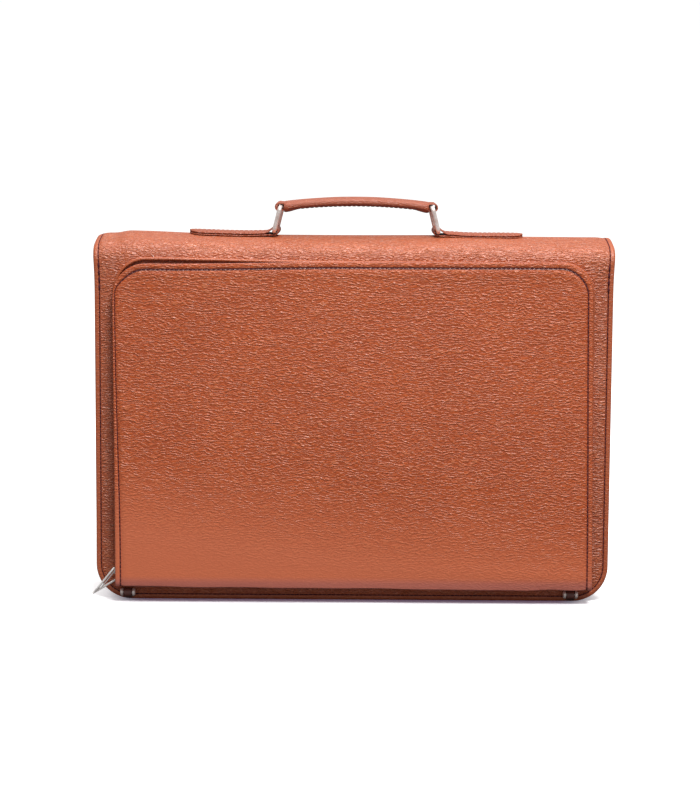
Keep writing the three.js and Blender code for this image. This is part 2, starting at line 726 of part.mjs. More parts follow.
const [pinLeft, pinRight] = pinPlaces();
const pieces = [
  { name: 'shell_sheet', geometry: shellSheet(), material: leather(leatherTan) },
  { name: 'edge_binding', geometry: edgeBinding(), material: leather(leatherTan) },
  { name: 'gusset', geometry: gusset(), material: leather(leatherTan) },
  { name: 'front_wall', geometry: frontWall(), material: leather(leatherTan) },
  { name: 'pocket_front', geometry: pocketFront(), material: leather(leatherTan) },
  { name: 'pocket_welt', geometry: pocketWelt(), material: leather(leatherTan) },
  { name: 'zip_tape', geometry: zipTape(), material: cloth() },
  { name: 'zip_teeth', geometry: zipTeeth(), material: metal() },
  { name: 'zip_slider', geometry: zipSlider(), material: metal() },
  { name: 'zip_pull', geometry: zipPull(), material: metal() },
  { name: 'tab_left', geometry: tab(-1), material: leather(leatherTan) },
  { name: 'tab_right', geometry: tab(1), material: leather(leatherTan) },
  { name: 'ring_left', geometry: ring(-1), material: metal() },
  { name: 'ring_right', geometry: ring(1), material: metal() },
  { name: 'handle_strap', geometry: handleStrap(), material: leather(leatherTan) },
  { name: 'handle_grip', geometry: handleGrip(), material: leather(leatherTan) },
  { name: 'foot_strap_left', geometry: footStrap(pinLeft), material: leather(leatherTan) },
  { name: 'foot_strap_right', geometry: footStrap(pinRight), material: leather(leatherTan) },
  { name: 'foot_pin_left', geometry: basePin(pinLeft), material: metal() },
  { name: 'foot_pin_right', geometry: basePin(pinRight), material: metal() },
];

const bag = new THREE.Group();
for (const { name, geometry, material } of pieces) {
  const mesh = new THREE.Mesh(geometry, material);
  mesh.name = name;
  bag.add(mesh);
}

// The origin is the middle of the bag's footprint, on the floor.
const extent = new THREE.Box3().setFromObject(bag);
const middle = extent.getCenter(vec(0, 0, 0));
bag.position.set(-middle.x, -middle.y, -extent.min.z);

export default bag;
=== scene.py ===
# Leather file bag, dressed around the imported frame.
# Sizes are in millimetres in the bag's own axes: x along the width, y from the back to the flap,
# z up from the floor. toFrame turns them into metres in the frame just before a mesh is made.
import math

import bmesh
import bpy
import numpy as np
from mathutils import Matrix, Vector


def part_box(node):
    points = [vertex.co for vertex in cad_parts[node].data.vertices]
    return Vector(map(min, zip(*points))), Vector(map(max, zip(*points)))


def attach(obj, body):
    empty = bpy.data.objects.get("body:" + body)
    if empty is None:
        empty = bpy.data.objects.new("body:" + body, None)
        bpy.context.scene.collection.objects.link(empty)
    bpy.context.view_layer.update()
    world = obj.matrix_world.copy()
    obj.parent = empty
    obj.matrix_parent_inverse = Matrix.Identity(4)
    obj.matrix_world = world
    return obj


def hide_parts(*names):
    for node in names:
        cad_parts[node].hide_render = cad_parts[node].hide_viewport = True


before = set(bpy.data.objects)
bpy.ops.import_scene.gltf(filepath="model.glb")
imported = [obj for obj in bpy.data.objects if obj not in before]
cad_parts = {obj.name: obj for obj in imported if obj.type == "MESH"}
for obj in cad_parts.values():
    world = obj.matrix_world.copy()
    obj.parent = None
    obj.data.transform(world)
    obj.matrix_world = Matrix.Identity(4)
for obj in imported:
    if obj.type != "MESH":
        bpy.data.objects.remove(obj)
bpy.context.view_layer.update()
scene = bpy.context.scene

shell = {
    "width": 391.0,
    "height": 276.5,
    "depth": 70.0,
    "corner": 27.0,
    "roll": 14.0,  # radius where a face turns over into the top
    "tilt": 15.0,  # degrees the top leans down at each roll
    "leather": 2.2,
    "edgeInset": 1.4,  # the sheet ends this far inside the binding
    "flapLift": 32.0,
    "columns": 150,
    "rows": 230,
}

shellLow, shellHigh = (np.array(corner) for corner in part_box("shell_sheet"))
bagOrigin = np.array([
    (shellLow[0] + shellHigh[0]) / 2,
    shellLow[1],
    shellLow[2] - shell["edgeInset"] * 0.001,
])


def toFrame(points):
    return np.asarray(points, float) * 0.001 + bagOrigin


# camera

camera = {
    "place": (-2.52, -2172.9, 503.8),
    "target": (-2.5, 0.0, 159.6),
    "roll": 0.36,  # degrees
    "focalPixels": 2905.5,
    "pixelsHigh": 788,
    "sensor": 36.0,
}


def addCamera(look):
    data = bpy.data.cameras.new("photoCamera")
    data.sensor_width = look["sensor"]
    data.lens = look["focalPixels"] / look["pixelsHigh"] * look["sensor"]
    data.clip_start = 0.05
    data.clip_end = 50
    item = bpy.data.objects.new("photoCamera", data)
    scene.collection.objects.link(item)
    place = Vector(toFrame(look["place"]))
    aim = Vector(toFrame(look["target"])) - place
    turn = aim.to_track_quat("-Z", "Y").to_matrix() @ Matrix.Rotation(math.radians(look["roll"]), 3, "Z")
    item.matrix_world = Matrix.Translation(place) @ turn.to_4x4()
    scene.camera = item


addCamera(camera)
print("camera placed")


# shapes as arrays

def smoothStep(value):
    value = np.clip(value, 0.0, 1.0)
    return value * value * (3 - 2 * value)


def bump(value, middle, reach):  # a bell of height 1 about middle
    return np.exp(-(((value - middle) / reach) ** 2))


def unit(vectors):
    return vectors / np.maximum(np.linalg.norm(vectors, axis=-1, keepdims=True), 1e-9)


# From -1 to 1 across 2 * half, with places at set distances from both edges and even ones between.
def edgeSpaced(half, distances, count):
    inner = np.linspace(distances[-1], 2 * half - distances[-1], count)[1:-1]
    across = np.concatenate([distances, inner, 2 * half - np.asarray(distances)[::-1]])
    return across / half - 1


def denseEnds(count, share=0.55):  # -1 to 1, closer together towards both ends
    t = np.linspace(-1, 1, count)
    return (1 - share) * t + share * np.sin(t * math.pi / 2)


def gridQuads(rows, columns, start=0, wrapRows=False, wrapColumns=False):
    index = start + np.arange(rows * columns).reshape(rows, columns)
    if wrapRows:
        index = np.vstack([index, index[:1]])
    if wrapColumns:
        index = np.hstack([index, index[:, :1]])
    corners = [index[:-1, :-1], index[:-1, 1:], index[1:, 1:], index[1:, :-1]]
    return np.stack(corners, -1).reshape(-1, 4)


# Two facing grids, (rows, columns, 3) each, closed by walls round the rim.
def sheetSolid(outer, inner):
    rows, columns = outer.shape[:2]
    size = rows * columns
    index = np.arange(size).reshape(rows, columns)
    rim = np.concatenate([index[0], index[1:, -1], index[-1, -2::-1], index[-2:0:-1, 0]])
    after = np.roll(rim, -1)
    walls = np.stack([after, rim, rim + size, after + size], -1)
    points = np.concatenate([outer.reshape(-1, 3), inner.reshape(-1, 3)])
    faces = np.concatenate([gridQuads(rows, columns), gridQuads(rows, columns, size)[:, ::-1], walls])
    return points, faces.tolist()


# The faces of a run of sections, closed into a ring or by a cap at each end.
def tubeFaces(count, sides, closed=False):
    faces = gridQuads(count, sides, wrapRows=closed, wrapColumns=True).tolist()
    if not closed:
        faces += [list(range(sides)), list(range((count - 1) * sides, count * sides))]
    return faces


# A section, (k, 2) or (n, k, 2), carried along centre (n, 3) with its axes out and up, (3,) or (n, 3) each.
def sweepSolid(centre, out, up, section, closed=False):
    section = np.broadcast_to(section, (len(centre),) + np.shape(section)[-2:])
    out, up = (np.broadcast_to(axis, centre.shape) for axis in (out, up))
    points = centre[:, None] + out[:, None] * section[..., :1] + up[:, None] * section[..., 1:]
    return points.reshape(-1, 3), tubeFaces(*points.shape[:2], closed)


def roundSection(halfOut, halfUp, sides, power=2.0):  # an ellipse at power 2, squarer above
    angle = np.linspace(0, 2 * math.pi, sides, endpoint=False)
    bend = lambda value: np.sign(value) * np.abs(value) ** (2 / power)
    return np.stack([halfOut * bend(np.cos(angle)), halfUp * bend(np.sin(angle))], -1)


# A round tube along points (n, 3); aside is a direction that it never runs in.
def tubeSolid(points, radius, sides=12, aside=(0, 1, 0)):
    tangent = unit(np.gradient(points, axis=0))
    out = unit(np.cross(tangent, np.asarray(aside, float)))
    up = unit(np.cross(out, tangent))
    return sweepSolid(points, out, up, roundSection(1, 1, sides) * radius[:, None, None])


# A profile (k, 2) of radius and distance along the axis x, turned about it.
def turnedSolid(profile, place, sides=24):
    angle = np.linspace(0, 2 * math.pi, sides, endpoint=False)
    profile = np.asarray(profile, float)
    ring = np.stack([np.zeros(sides), np.cos(angle), np.sin(angle)], -1)
    points = profile[:, None, :1] * ring + profile[:, None, 1:] * np.array([1.0, 0, 0])
    return points.reshape(-1, 3) + np.asarray(place, float), tubeFaces(len(profile), sides)


def joinSolids(solids):
    points, faces, start = [], [], 0
    for solidPoints, solidFaces in solids:
        points.append(np.asarray(solidPoints))
        faces += [[index + start for index in face] for face in solidFaces]
        start += len(solidPoints)
    return np.concatenate(points), faces


# Marks a pitch apart along a line: the place, direction and normal of each.
def marksAlong(points, normals, pitch, length):
    normals = np.broadcast_to(normals, points.shape)
    run = np.concatenate([[0], np.cumsum(np.linalg.norm(np.diff(points, axis=0), axis=1))])
    count = max(1, int(run[-1] / pitch))
    middle = (np.arange(count) + 0.5) * run[-1] / count
    at = lambda where, values: np.stack([np.interp(where, run, values[:, k]) for k in range(3)], -1)
    tangent = unit(at(middle + length / 2, points) - at(middle - length / 2, points))
    normal = unit(at(middle, normals))
    return at(middle, points), tangent, normal


# Faces of many small six-sided pegs, each of so many rings and closed at both ends.
def pegFaces(copies, rings, sides=6):
    cap = np.array([[0, 1, 2, 3], [0, 3, 4, 5]])
    peg = np.concatenate([gridQuads(rings, sides, wrapColumns=True), cap[:, ::-1], cap + (rings - 1) * sides])
    return (peg[None] + (np.arange(copies) * rings * sides)[:, None, None]).reshape(-1, 4).tolist()


# Thread: each stitch is a short capsule, flattened and sunk at its ends.
def stitchSolid(points, normals, look):
    centre, tangent, normal = marksAlong(points, normals, look["pitch"], look["length"])
    side = unit(np.cross(tangent, normal))
    along = np.array([-1.0, -0.8, 0.0, 0.8, 1.0])
    girth = np.array([0.35, 0.85, 1.0, 0.85, 0.35]) * look["radius"]
    sink = np.array([-0.7, -0.15, 0.1, -0.15, -0.7]) * look["radius"]
    angle = np.linspace(0, 2 * math.pi, 6, endpoint=False)
    ring = girth[:, None] * np.cos(angle), girth[:, None] * np.sin(angle) * 0.8 + sink[:, None]
    shape = (
        centre[:, None, None]
        + tangent[:, None, None] * (along * look["length"] / 2)[None, :, None, None]
        + side[:, None, None] * ring[0][None, :, :, None]
        + normal[:, None, None] * ring[1][None, :, :, None]
    )
    return shape.reshape(-1, 3), pegFaces(len(centre), len(along))


# Makes the object, smooth but for edges over sharp degrees, and ties it to its body.
def addPiece(name, solid, material, body, replaced=(), sharp=50, modifiers=()):
    points, faces = solid
    mesh = bpy.data.meshes.new(name)
    mesh.from_pydata(toFrame(points).tolist(), [], faces)
    work = bmesh.new()
    work.from_mesh(mesh)
    bmesh.ops.recalc_face_normals(work, faces=work.faces)
    work.to_mesh(mesh)
    work.free()
    mesh.shade_smooth()
    mesh.set_sharp_from_angle(angle=math.radians(sharp))
    mesh.materials.append(material)
    item = bpy.data.objects.new(name, mesh)
    scene.collection.objects.link(item)
    for kind, settings in modifiers:
        modifier = item.modifiers.new(kind.lower(), kind)
        for key, value in settings.items():
            setattr(modifier, key, value)
    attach(item, body)
    if replaced:
        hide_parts(*replaced)
    return item


# material nodes

def addNode(tree, kind, inputs=None, **settings):
    node = tree.nodes.new(kind)
    for key, value in settings.items():
        setattr(node, key, value)
    for key, value in (inputs or {}).items():
        if isinstance(value, bpy.types.NodeSocket):
            tree.links.new(value, node.inputs[key])
        else:
            node.inputs[key].default_value = value
    return node


def newGroup(name, inputs, outputs):
    group = bpy.data.node_groups.new(name, "ShaderNodeTree")
    for label, kind, value in inputs:
        group.interface.new_socket(label, in_out="INPUT", socket_type=kind).default_value = value
    for label, kind in outputs:
        group.interface.new_socket(label, in_out="OUTPUT", socket_type=kind)
    return group, group.nodes.new("NodeGroupInput"), group.nodes.new("NodeGroupOutput")


def blendColours(tree, factor, first, second):
    return addNode(tree, "ShaderNodeMix", {0: factor, 6: first, 7: second}, data_type="RGBA").outputs[2]


def mathOf(tree, operation, first, second=0.0, third=0.0):
    return addNode(tree, "ShaderNodeMath", {0: first, 1: second, 2: third}, operation=operation).outputs[0]


def vectorMath(tree, operation, first, second=(0, 0, 0)):
    return addNode(tree, "ShaderNodeVectorMath", {0: first, 1: second}, operation=operation)


def remap(tree, value, low, high, toLow=0.0, toHigh=1.0, smooth=False):
    span = {"Value": value, "From Min": low, "From Max": high, "To Min": toLow, "To Max": toHigh}
    kind = "SMOOTHSTEP" if smooth else "LINEAR"
    return addNode(tree, "ShaderNodeMapRange", span, interpolation_type=kind).outputs["Result"]


def objectPlace(tree):
    return addNode(tree, "ShaderNodeTexCoord").outputs["Object"]


def noiseOf(tree, place, scale, detail):
    return addNode(tree, "ShaderNodeTexNoise", {"Vector": place, "Scale": scale, "Detail": detail}).outputs


# Lets a height stand out of the surface by strength and distance in metres.
def addRelief(tree, surface, height, strength, distance):
    relief = addNode(tree, "ShaderNodeBump", {"Height": height, "Strength": strength, "Distance": distance})
    tree.links.new(relief.outputs["Normal"], surface.inputs["Normal"])


# Pebbled grain: flat pebbles longer across the hide, and thin wrinkles that flow over them.
# Height is 1 on the highest pebbles, Crease is 1 between them, Crest on the wrinkles; Tone drifts slowly.
def grainGroup():
    inputs = [
        ("Cell", "NodeSocketFloat", 2.0),
        ("Stretch", "NodeSocketFloat", 1.6),
        ("Warp", "NodeSocketFloat", 0.5),
    ]
    outputs = [(label, "NodeSocketFloat") for label in ("Height", "Crease", "Crest", "Tone")]
    group, given, result = newGroup("leatherGrain", inputs, outputs)
    inMillimetres = vectorMath(group, "MULTIPLY", objectPlace(group), (1000, 1000, 1000)).outputs[0]
    cell = given.outputs["Cell"]

    def spread(wide, high):  # places counted in cells, wide cells across and high cells up
        across = mathOf(group, "MULTIPLY", mathOf(group, "MULTIPLY", cell, wide), given.outputs["Stretch"])
        upwards = mathOf(group, "MULTIPLY", cell, high)
        size = addNode(group, "ShaderNodeCombineXYZ", {"X": across, "Y": upwards, "Z": upwards})
        return vectorMath(group, "DIVIDE", inMillimetres, size.outputs[0]).outputs[0]

    cells = spread(1.0, 1.0)
    drift = noiseOf(group, cells, 0.55, 2.0)["Color"]
    centred = vectorMath(group, "SUBTRACT", drift, (0.5, 0.5, 0.5)).outputs[0]
    pushed = addNode(group, "ShaderNodeVectorMath", {0: centred}, operation="SCALE")
    group.links.new(mathOf(group, "MULTIPLY", given.outputs["Warp"], 4.0), pushed.inputs["Scale"])
    warped = vectorMath(group, "ADD", cells, pushed.outputs[0]).outputs[0]
    large = addNode(group, "ShaderNodeTexVoronoi", {"Vector": warped, "Scale": 1.0}, feature="DISTANCE_TO_EDGE")
    fine = noiseOf(group, warped, 3.0, 3.0)[0]
    flank = remap(group, large.outputs["Distance"], 0.0, 0.5, 1.0, 0.0)
    pebble = mathOf(group, "SUBTRACT", 1.0, mathOf(group, "POWER", flank, 1.8))  # a dome from border to border
    flow = noiseOf(group, spread(3.0, 3.6), 1.0, 1.0)[0]
    ripple = noiseOf(group, spread(0.9, 1.5), 1.0, 1.0)[0]
    patches = noiseOf(group, spread(0.9, 1.1), 1.0, 0.0)[0]
    rows = addNode(group, "ShaderNodeSeparateXYZ", {0: spread(1.0, 1.3)})
    phase = mathOf(group, "ADD", rows.outputs["Z"], mathOf(group, "MULTIPLY", rows.outputs["Y"], 0.8))
    phase = mathOf(group, "MULTIPLY_ADD", flow, 4.0, phase)
    phase = mathOf(group, "MULTIPLY_ADD", ripple, 1.5, phase)
    saw = mathOf(group, "ABSOLUTE", mathOf(group, "SUBTRACT", mathOf(group, "FRACT", phase), 0.5))
    crest = remap(group, saw, 0.02, 0.3, 1.0, 0.0, smooth=True)
    crest = mathOf(group, "MULTIPLY", crest, remap(group, patches, 0.36, 0.52, 0.35, 1.0))
    height = mathOf(group, "MULTIPLY_ADD", pebble, 0.46, mathOf(group, "MULTIPLY", crest, 0.48))
    height = mathOf(group, "MULTIPLY_ADD", fine, 0.12, height)
    valley = remap(group, large.outputs["Distance"], 0.0, 0.18, 1.0, 0.0, smooth=True)
    valley = mathOf(group, "MULTIPLY", valley, mathOf(group, "SUBTRACT", 1.0, mathOf(group, "MULTIPLY", crest, 0.7)))
    tone = noiseOf(group, inMillimetres, 0.02, 3.0)[0]
    group.links.new(height, result.inputs["Height"])
    group.links.new(valley, result.inputs["Crease"])
    group.links.new(crest, result.inputs["Crest"])
    group.links.new(tone, result.inputs["Tone"])
    return group


grain = grainGroup()


def newMaterial(name):
    material = bpy.data.materials.new(name)
    material.use_nodes = True
    tree = material.node_tree
    return material, tree, tree.nodes["Principled BSDF"]


# Leather: tan on the pebbles, with painted shade between them and a painted highlight on the wrinkles, drifting a
# little in tone.
# calm gives two heights in metres between which the grain fades in, as where the hide is pulled smooth; where the
# grain is faint a paler, pinker painted sheen is blended into the colour, and lower still a mauve painted sheen.
def leatherMaterial(name, look):
    material, tree, surface = newMaterial(name)
    parts = addNode(tree, "ShaderNodeGroup")
    parts.node_tree = grain
    for key in ("Cell", "Stretch", "Warp"):
        parts.inputs[key].default_value = look[key.lower()]
    strength, creases, crests = look["strength"], look["creaseShade"], look["crestHighlight"]
    driftAndSheen = blendColours(tree, remap(tree, parts.outputs["Tone"], 0.35, 0.65), look["low"], look["high"])
    if "calm" in look:
        parted = addNode(tree, "ShaderNodeSeparateXYZ", {0: objectPlace(tree)}).outputs
        upwards = parted["Z"]
        slanted = mathOf(tree, "MULTIPLY_ADD", parted["X"], look["calmSlant"], upwards)
        grown = remap(tree, slanted, *look["calm"], look["calmShare"], 1.0, smooth=True)
        # Painted sheen: paler and pinker towards the bottom, then a mauve band of painted sheen just above the hem.
        driftAndSheen = blendColours(tree, remap(tree, grown, 0.3, 0.95, 1.0, 0.0), driftAndSheen, look["calmSheenColour"])
        driftAndSheen = blendColours(tree, remap(tree, upwards, *look["sheenBand"], smooth=True), driftAndSheen, look["sheenBandColour"])
        shares = (strength, creases, crests)
        strength, creases, crests = (mathOf(tree, "MULTIPLY", grown, share) for share in shares)
    # Painted shade in the creases between pebbles, then a painted highlight on the wrinkles.
    colour = blendColours(tree, mathOf(tree, "MULTIPLY", parts.outputs["Crease"], creases), driftAndSheen, look["valley"])
    colour = blendColours(tree, mathOf(tree, "MULTIPLY", parts.outputs["Crest"], crests), colour, look["crest"])
    tree.links.new(colour, surface.inputs["Base Color"])
    rough = remap(tree, parts.outputs["Height"], 0.1, 1.0, look["rough"][1], look["rough"][0])
    tree.links.new(rough, surface.inputs["Roughness"])
    addRelief(tree, surface, parts.outputs["Height"], strength, look["relief"] * 0.001)
    surface.inputs["Specular IOR Level"].default_value = look["gloss"]
    surface.inputs["Sheen Weight"].default_value = look["sheen"]
    surface.inputs["Sheen Roughness"].default_value = 0.4
    surface.inputs["Sheen Tint"].default_value = (1, 0.86, 0.80, 1)
    return material


tan = {
    "cell": 1.9,
    "stretch": 2.3,
    "warp": 0.35,
    "low": (0.42, 0.077, 0.012, 1),
    "high": (0.47, 0.091, 0.016, 1),
    # valley is painted shade in the creases, crest a painted highlight on the wrinkles
    "valley": (0.29, 0.038, 0.005, 1),
    "crest": (0.60, 0.185, 0.080, 1),
    "creaseShade": 0.55,
    "crestHighlight": 0.55,
    "rough": (0.31, 0.54),
    "strength": 1.0,
    "relief": 0.75,
    "gloss": 0.9,
    "sheen": 0.05,
}
pocketTan = {
    **tan,
    "low": (0.45, 0.075, 0.009, 1),
    "high": (0.50, 0.088, 0.012, 1),
    "gloss": 0.6,
    "relief": 0.62,
    "calm": (0.0, 0.115),
    "calmShare": 0.14,
    "calmSlant": 0.14,  # the pulled band stands lower towards the right
    # a paler, pinker painted sheen towards the bottom, and a mauve painted sheen in the lowest band
    "calmSheenColour": (0.60, 0.145, 0.058, 1),
    "sheenBand": (0.022, 0.015),
    "sheenBandColour": (0.46, 0.130, 0.090, 1),
}
bindingTan = {
    **tan,
    "cell": 1.6,
    "stretch": 1.6,
    "strength": 0.7,
    "relief": 0.4,
    "creaseShade": 0.3,
    "crestHighlight": 0.25,
}
smoothTan = {
    **tan,
    "cell": 1.1,
    "stretch": 1.3,
    "strength": 0.35,
    "relief": 0.25,
    "creaseShade": 0.3,
    "crestHighlight": 0.1,
}
handleTan = {
    **tan,
    "cell": 1.3,
    "stretch": 1.3,
    "low": (0.34, 0.066, 0.020, 1),
    "high": (0.39, 0.082, 0.028, 1),
    "strength": 0.9,
    "relief": 0.5,
    "crestHighlight": 0.35,
}
# The grip's underside: a much darker copy of the handle leather, as painted shade where it faces down.
gripUnderShade = {**handleTan, "low": (0.12, 0.030, 0.026, 1), "high": (0.14, 0.038, 0.034, 1), "crestHighlight": 0.0}
rawSide = {
    **tan,
    "cell": 0.7,
    "stretch": 1.0,
    "low": (0.16, 0.060, 0.032, 1),
    "high": (0.20, 0.078, 0.042, 1),
    "valley": (0.10, 0.035, 0.018, 1),
    "crestHighlight": 0.0,
    "rough": (0.85, 0.95),
    "relief": 0.15,
    "gloss": 0.2,
    "sheen": 0.0,
}
# A darker copy of the smooth leather: painted shade in seam grooves and gaps, and the raw edge's own darker colour.
seamShadeTan = {
    **smoothTan,
    "low": (0.15, 0.026, 0.016, 1),
    "high": (0.19, 0.034, 0.022, 1),
    "crestHighlight": 0.0,
    "sheen": 0.0,
}
footBrown = {
    **smoothTan,
    "low": (0.12, 0.026, 0.015, 1),
    "high": (0.15, 0.034, 0.020, 1),
    "valley": (0.040, 0.010, 0.006, 1),
    "crestHighlight": 0.0,
}


# Metal: satin nickel with fine drawn lines and a little tarnish.
def metalMaterial(name, look):
    material, tree, surface = newMaterial(name)
    place = objectPlace(tree)
    drawn = addNode(tree, "ShaderNodeMapping", {"Vector": place, "Scale": look["lines"]})
    lines = noiseOf(tree, drawn.outputs[0], 1.0, 2.0)[0]
    cloud = noiseOf(tree, place, look["clouds"], 3.0)[0]
    colour = blendColours(tree, remap(tree, cloud, 0.4, 0.7), look["bright"], look["dull"])
    tree.links.new(colour, surface.inputs["Base Color"])
    tree.links.new(remap(tree, lines, 0.3, 0.7, *look["rough"]), surface.inputs["Roughness"])
    addRelief(tree, surface, lines, 0.15, 0.0001)
    surface.inputs["Metallic"].default_value = look["metallic"]
    return material


nickel = {
    "lines": (900, 900, 2600),  # drawn lines per metre along each axis
    "clouds": 260.0,
    "bright": (0.95, 0.87, 0.82, 1),
    "dull": (0.74, 0.62, 0.56, 1),
    "rough": (0.26, 0.42),
    "metallic": 0.6,  # below 1, as its lacquer scatters some light
}
pullNickel = {**nickel, "bright": (0.97, 0.94, 0.90, 1), "dull": (0.86, 0.82, 0.78, 1), "metallic": 0.4}


# Woven cloth for the zip's tape: two crossed waves a thread apart.
def clothMaterial(name, look):
    material, tree, surface = newMaterial(name)
    threads = {"Vector": objectPlace(tree), "Scale": look["ribs"], "Distortion": 0.3}
    ribs, weft = (
        addNode(tree, "ShaderNodeTexWave", threads, bands_direction=direction).outputs["Fac"]
        for direction in ("Y", "DIAGONAL")
    )
    woven = mathOf(tree, "MULTIPLY", ribs, weft)
    tree.links.new(blendColours(tree, woven, look["dark"], look["light"]), surface.inputs["Base Color"])
    addRelief(tree, surface, woven, 0.6, 0.0002)
    surface.inputs["Roughness"].default_value = 0.9
    return material


tapeBrown = {"ribs": 500, "dark": (0.06, 0.022, 0.018, 1), "light": (0.16, 0.062, 0.050, 1)}


# Waxed thread: dark, with the twist of its strands.
def threadMaterial(name, look):
    material, tree, surface = newMaterial(name)
    twist = noiseOf(tree, objectPlace(tree), 1800.0, 1.0)[0]
    tree.links.new(blendColours(tree, twist, look["dark"], look["light"]), surface.inputs["Base Color"])
    addRelief(tree, surface, twist, 0.3, 0.0001)
    surface.inputs["Roughness"].default_value = 0.7
    surface.inputs["Specular IOR Level"].default_value = 0.12
    return material


shellLeather = leatherMaterial("shellTan", tan)
pocketLeather = leatherMaterial("pocketTan", pocketTan)
bindingLeather = leatherMaterial("bindingTan", bindingTan)
handleLeather = leatherMaterial("handleTan", handleTan)
gripUnderShadeLeather = leatherMaterial("gripUnderShade", gripUnderShade)
fleshSide = leatherMaterial("fleshSide", rawSide)
footLeather = leatherMaterial("footBrown", footBrown)
seamShadeLeather = leatherMaterial("seamShadeTan", seamShadeTan)
ringMetal = metalMaterial("ringNickel", nickel)
pullMetal = metalMaterial("pullNickel", pullNickel)
tapeCloth = clothMaterial("tapeCloth", tapeBrown)
thread = threadMaterial("darkThread", {"dark": (0.045, 0.009, 0.014, 1), "light": (0.12, 0.026, 0.030, 1)})
tanThread = threadMaterial("tanThread", {"dark": (0.24, 0.05, 0.02, 1), "light": (0.38, 0.09, 0.04, 1)})
paleThread = threadMaterial("paleThread", {"dark": (0.55, 0.33, 0.27, 1), "light": (0.80, 0.62, 0.55, 1)})
print("materials made")


# shell sheet

# Outline of a rounded rectangle, clockwise from its lower left, with its outward normals.
# open leaves out the lower side and its corners.
def roundOutline(half, low, high, radius, step=2.0, open=False):
    def line(start, end, normal):
        count = max(2, int(np.hypot(*(np.subtract(end, start))) / step))
        t = np.linspace(0, 1, count, endpoint=False)[:, None]
        return np.asarray(start) * (1 - t) + np.asarray(end) * t, np.tile(normal, (count, 1))

    def corner(centre, fromAngle):
        count = max(8, int(radius * math.pi / 2 / step))
        angle = np.radians(fromAngle) - np.linspace(0, 1, count, endpoint=False) * math.pi / 2
        normal = np.stack([np.cos(angle), np.sin(angle)], -1)
        return np.asarray(centre) + radius * normal, normal

    bottom = low if open else low + radius
    parts = [
        line((-half, bottom), (-half, high - radius), (-1.0, 0.0)),
        corner((radius - half, high - radius), 180),
        line((radius - half, high), (half - radius, high), (0.0, 1.0)),
        corner((half - radius, high - radius), 90),
        line((half, high - radius), (half, bottom), (1.0, 0.0)),
    ]
    if open:
        parts.append((np.array([[half, bottom]]), np.array([[1.0, 0.0]])))
    else:
        parts += [
            corner((half - radius, low + radius), 0),
            line((half - radius, low), (radius - half, low), (0.0, -1.0)),
            corner((radius - half, low + radius), 270),
        ]
    return tuple(np.concatenate(values) for values in zip(*parts))


# Both coordinates of an outline's points, (n, k) each, moved outwards by a distance of (n, k) or less.
def outBy(place, normal, distance):
    return (place[:, k:k + 1] + normal[:, k:k + 1] * distance for k in (0, 1))


# Distance from (u, v) to the edge of that rectangle, positive inside.
def insideBy(u, v, half, low, high, radius, open=False):
    middle, reach = (low + high) / 2, (high - low) / 2
    across = np.abs(u) - (half - radius)
    upwards = (v - middle) if open else np.abs(v - middle)
    upwards = upwards - (reach - radius)
    outside = np.hypot(np.maximum(across, 0), np.maximum(upwards, 0))
    return radius - outside - np.minimum(np.maximum(across, upwards), 0)


def halfWidthAt(toEdge, half, radius):  # the rectangle's half width at a distance from its end
    depth = np.clip(radius - toEdge, 0, radius)
    return half - radius + np.sqrt(radius ** 2 - depth ** 2)


# A line of straight runs and arcs in (y, z), read by its length: y, z and the outward normal.
def profileTable(parts):
    rows = [np.array(part) for part in parts]
    table = np.concatenate(rows)
    run = np.concatenate([[0], np.cumsum(np.linalg.norm(np.diff(table[:, :2], axis=0), axis=1))])
    keep = np.concatenate([[True], np.diff(run) > 1e-6])
    return run[keep], table[keep]


def straightPart(start, end, normal, count=40):
    t = np.linspace(0, 1, count)[:, None]
    points = np.asarray(start) * (1 - t) + np.asarray(end) * t
    return np.hstack([points, np.tile(normal, (count, 1))])


def arcPart(centre, radius, fromAngle, toAngle, count=40):
    angle = np.radians(np.linspace(fromAngle, toAngle, count))
    normal = np.stack([np.cos(angle), np.sin(angle)], -1)
    return np.hstack([np.asarray(centre) + radius * normal, normal])


def readProfile(table, length):
    run, values = table
    return [np.interp(length, run, values[:, k]) for k in range(4)]


lean = shell["tilt"]
tilt = math.radians(lean)
roll = shell["roll"]
domeRadius = roll + (shell["depth"] / 2 - roll) / math.sin(tilt)
domeDrop = (domeRadius - roll) * math.cos(tilt)
rollHeight = shell["height"] - roll - (domeRadius - roll - domeDrop)
inset = shell["edgeInset"]
shellSpare = 6.0  # the table runs this far past both ends of the sheet
shellTable = profileTable([
    straightPart((0, inset - shellSpare), (0, rollHeight), (-1, 0)),
    arcPart((roll, rollHeight), roll, 180, 90 + lean),
    arcPart((shell["depth"] / 2, rollHeight - domeDrop), domeRadius, 90 + lean, 90 - lean),
    arcPart((shell["depth"] - roll, rollHeight), roll, 90 - lean, 0),
    straightPart(
        (shell["depth"], rollHeight), (shell["depth"], shell["flapLift"] + inset - shellSpare), (1, 0),
    ),
])
sheetLength = shellTable[0][-1] - 2 * shellSpare
sheetHalf = shell["width"] / 2 - inset
sheetCorner = shell["corner"] - inset
sheetSpan = (sheetHalf, 0.0, sheetLength, sheetCorner)

# Each change of the crown's height: how much, how far from the middle it starts, and over what length.
crown = {
    "left": ((2.4, 80, 95), (-1.9, 170, 14), (-1.5, 189, 6)),  # a hump that droops again at the end
    "right": ((-0.75, 60, 80), (-0.4, 180, 12)),
    "flare": (1.0, 165, 25),  # the ends stand out where the sheet turns over
    "flareRows": (8, 17),  # the flare's middle above the roll's start, and its reach
}


def crownShift(u):  # how far the top lies above its nominal height
    sides = ((-1, crown["left"]), (1, crown["right"]))
    changes = [(side, *change) for side, listed in sides for change in listed]
    return sum(height * smoothStep((side * u - start) / run) for side, height, start, run in changes)


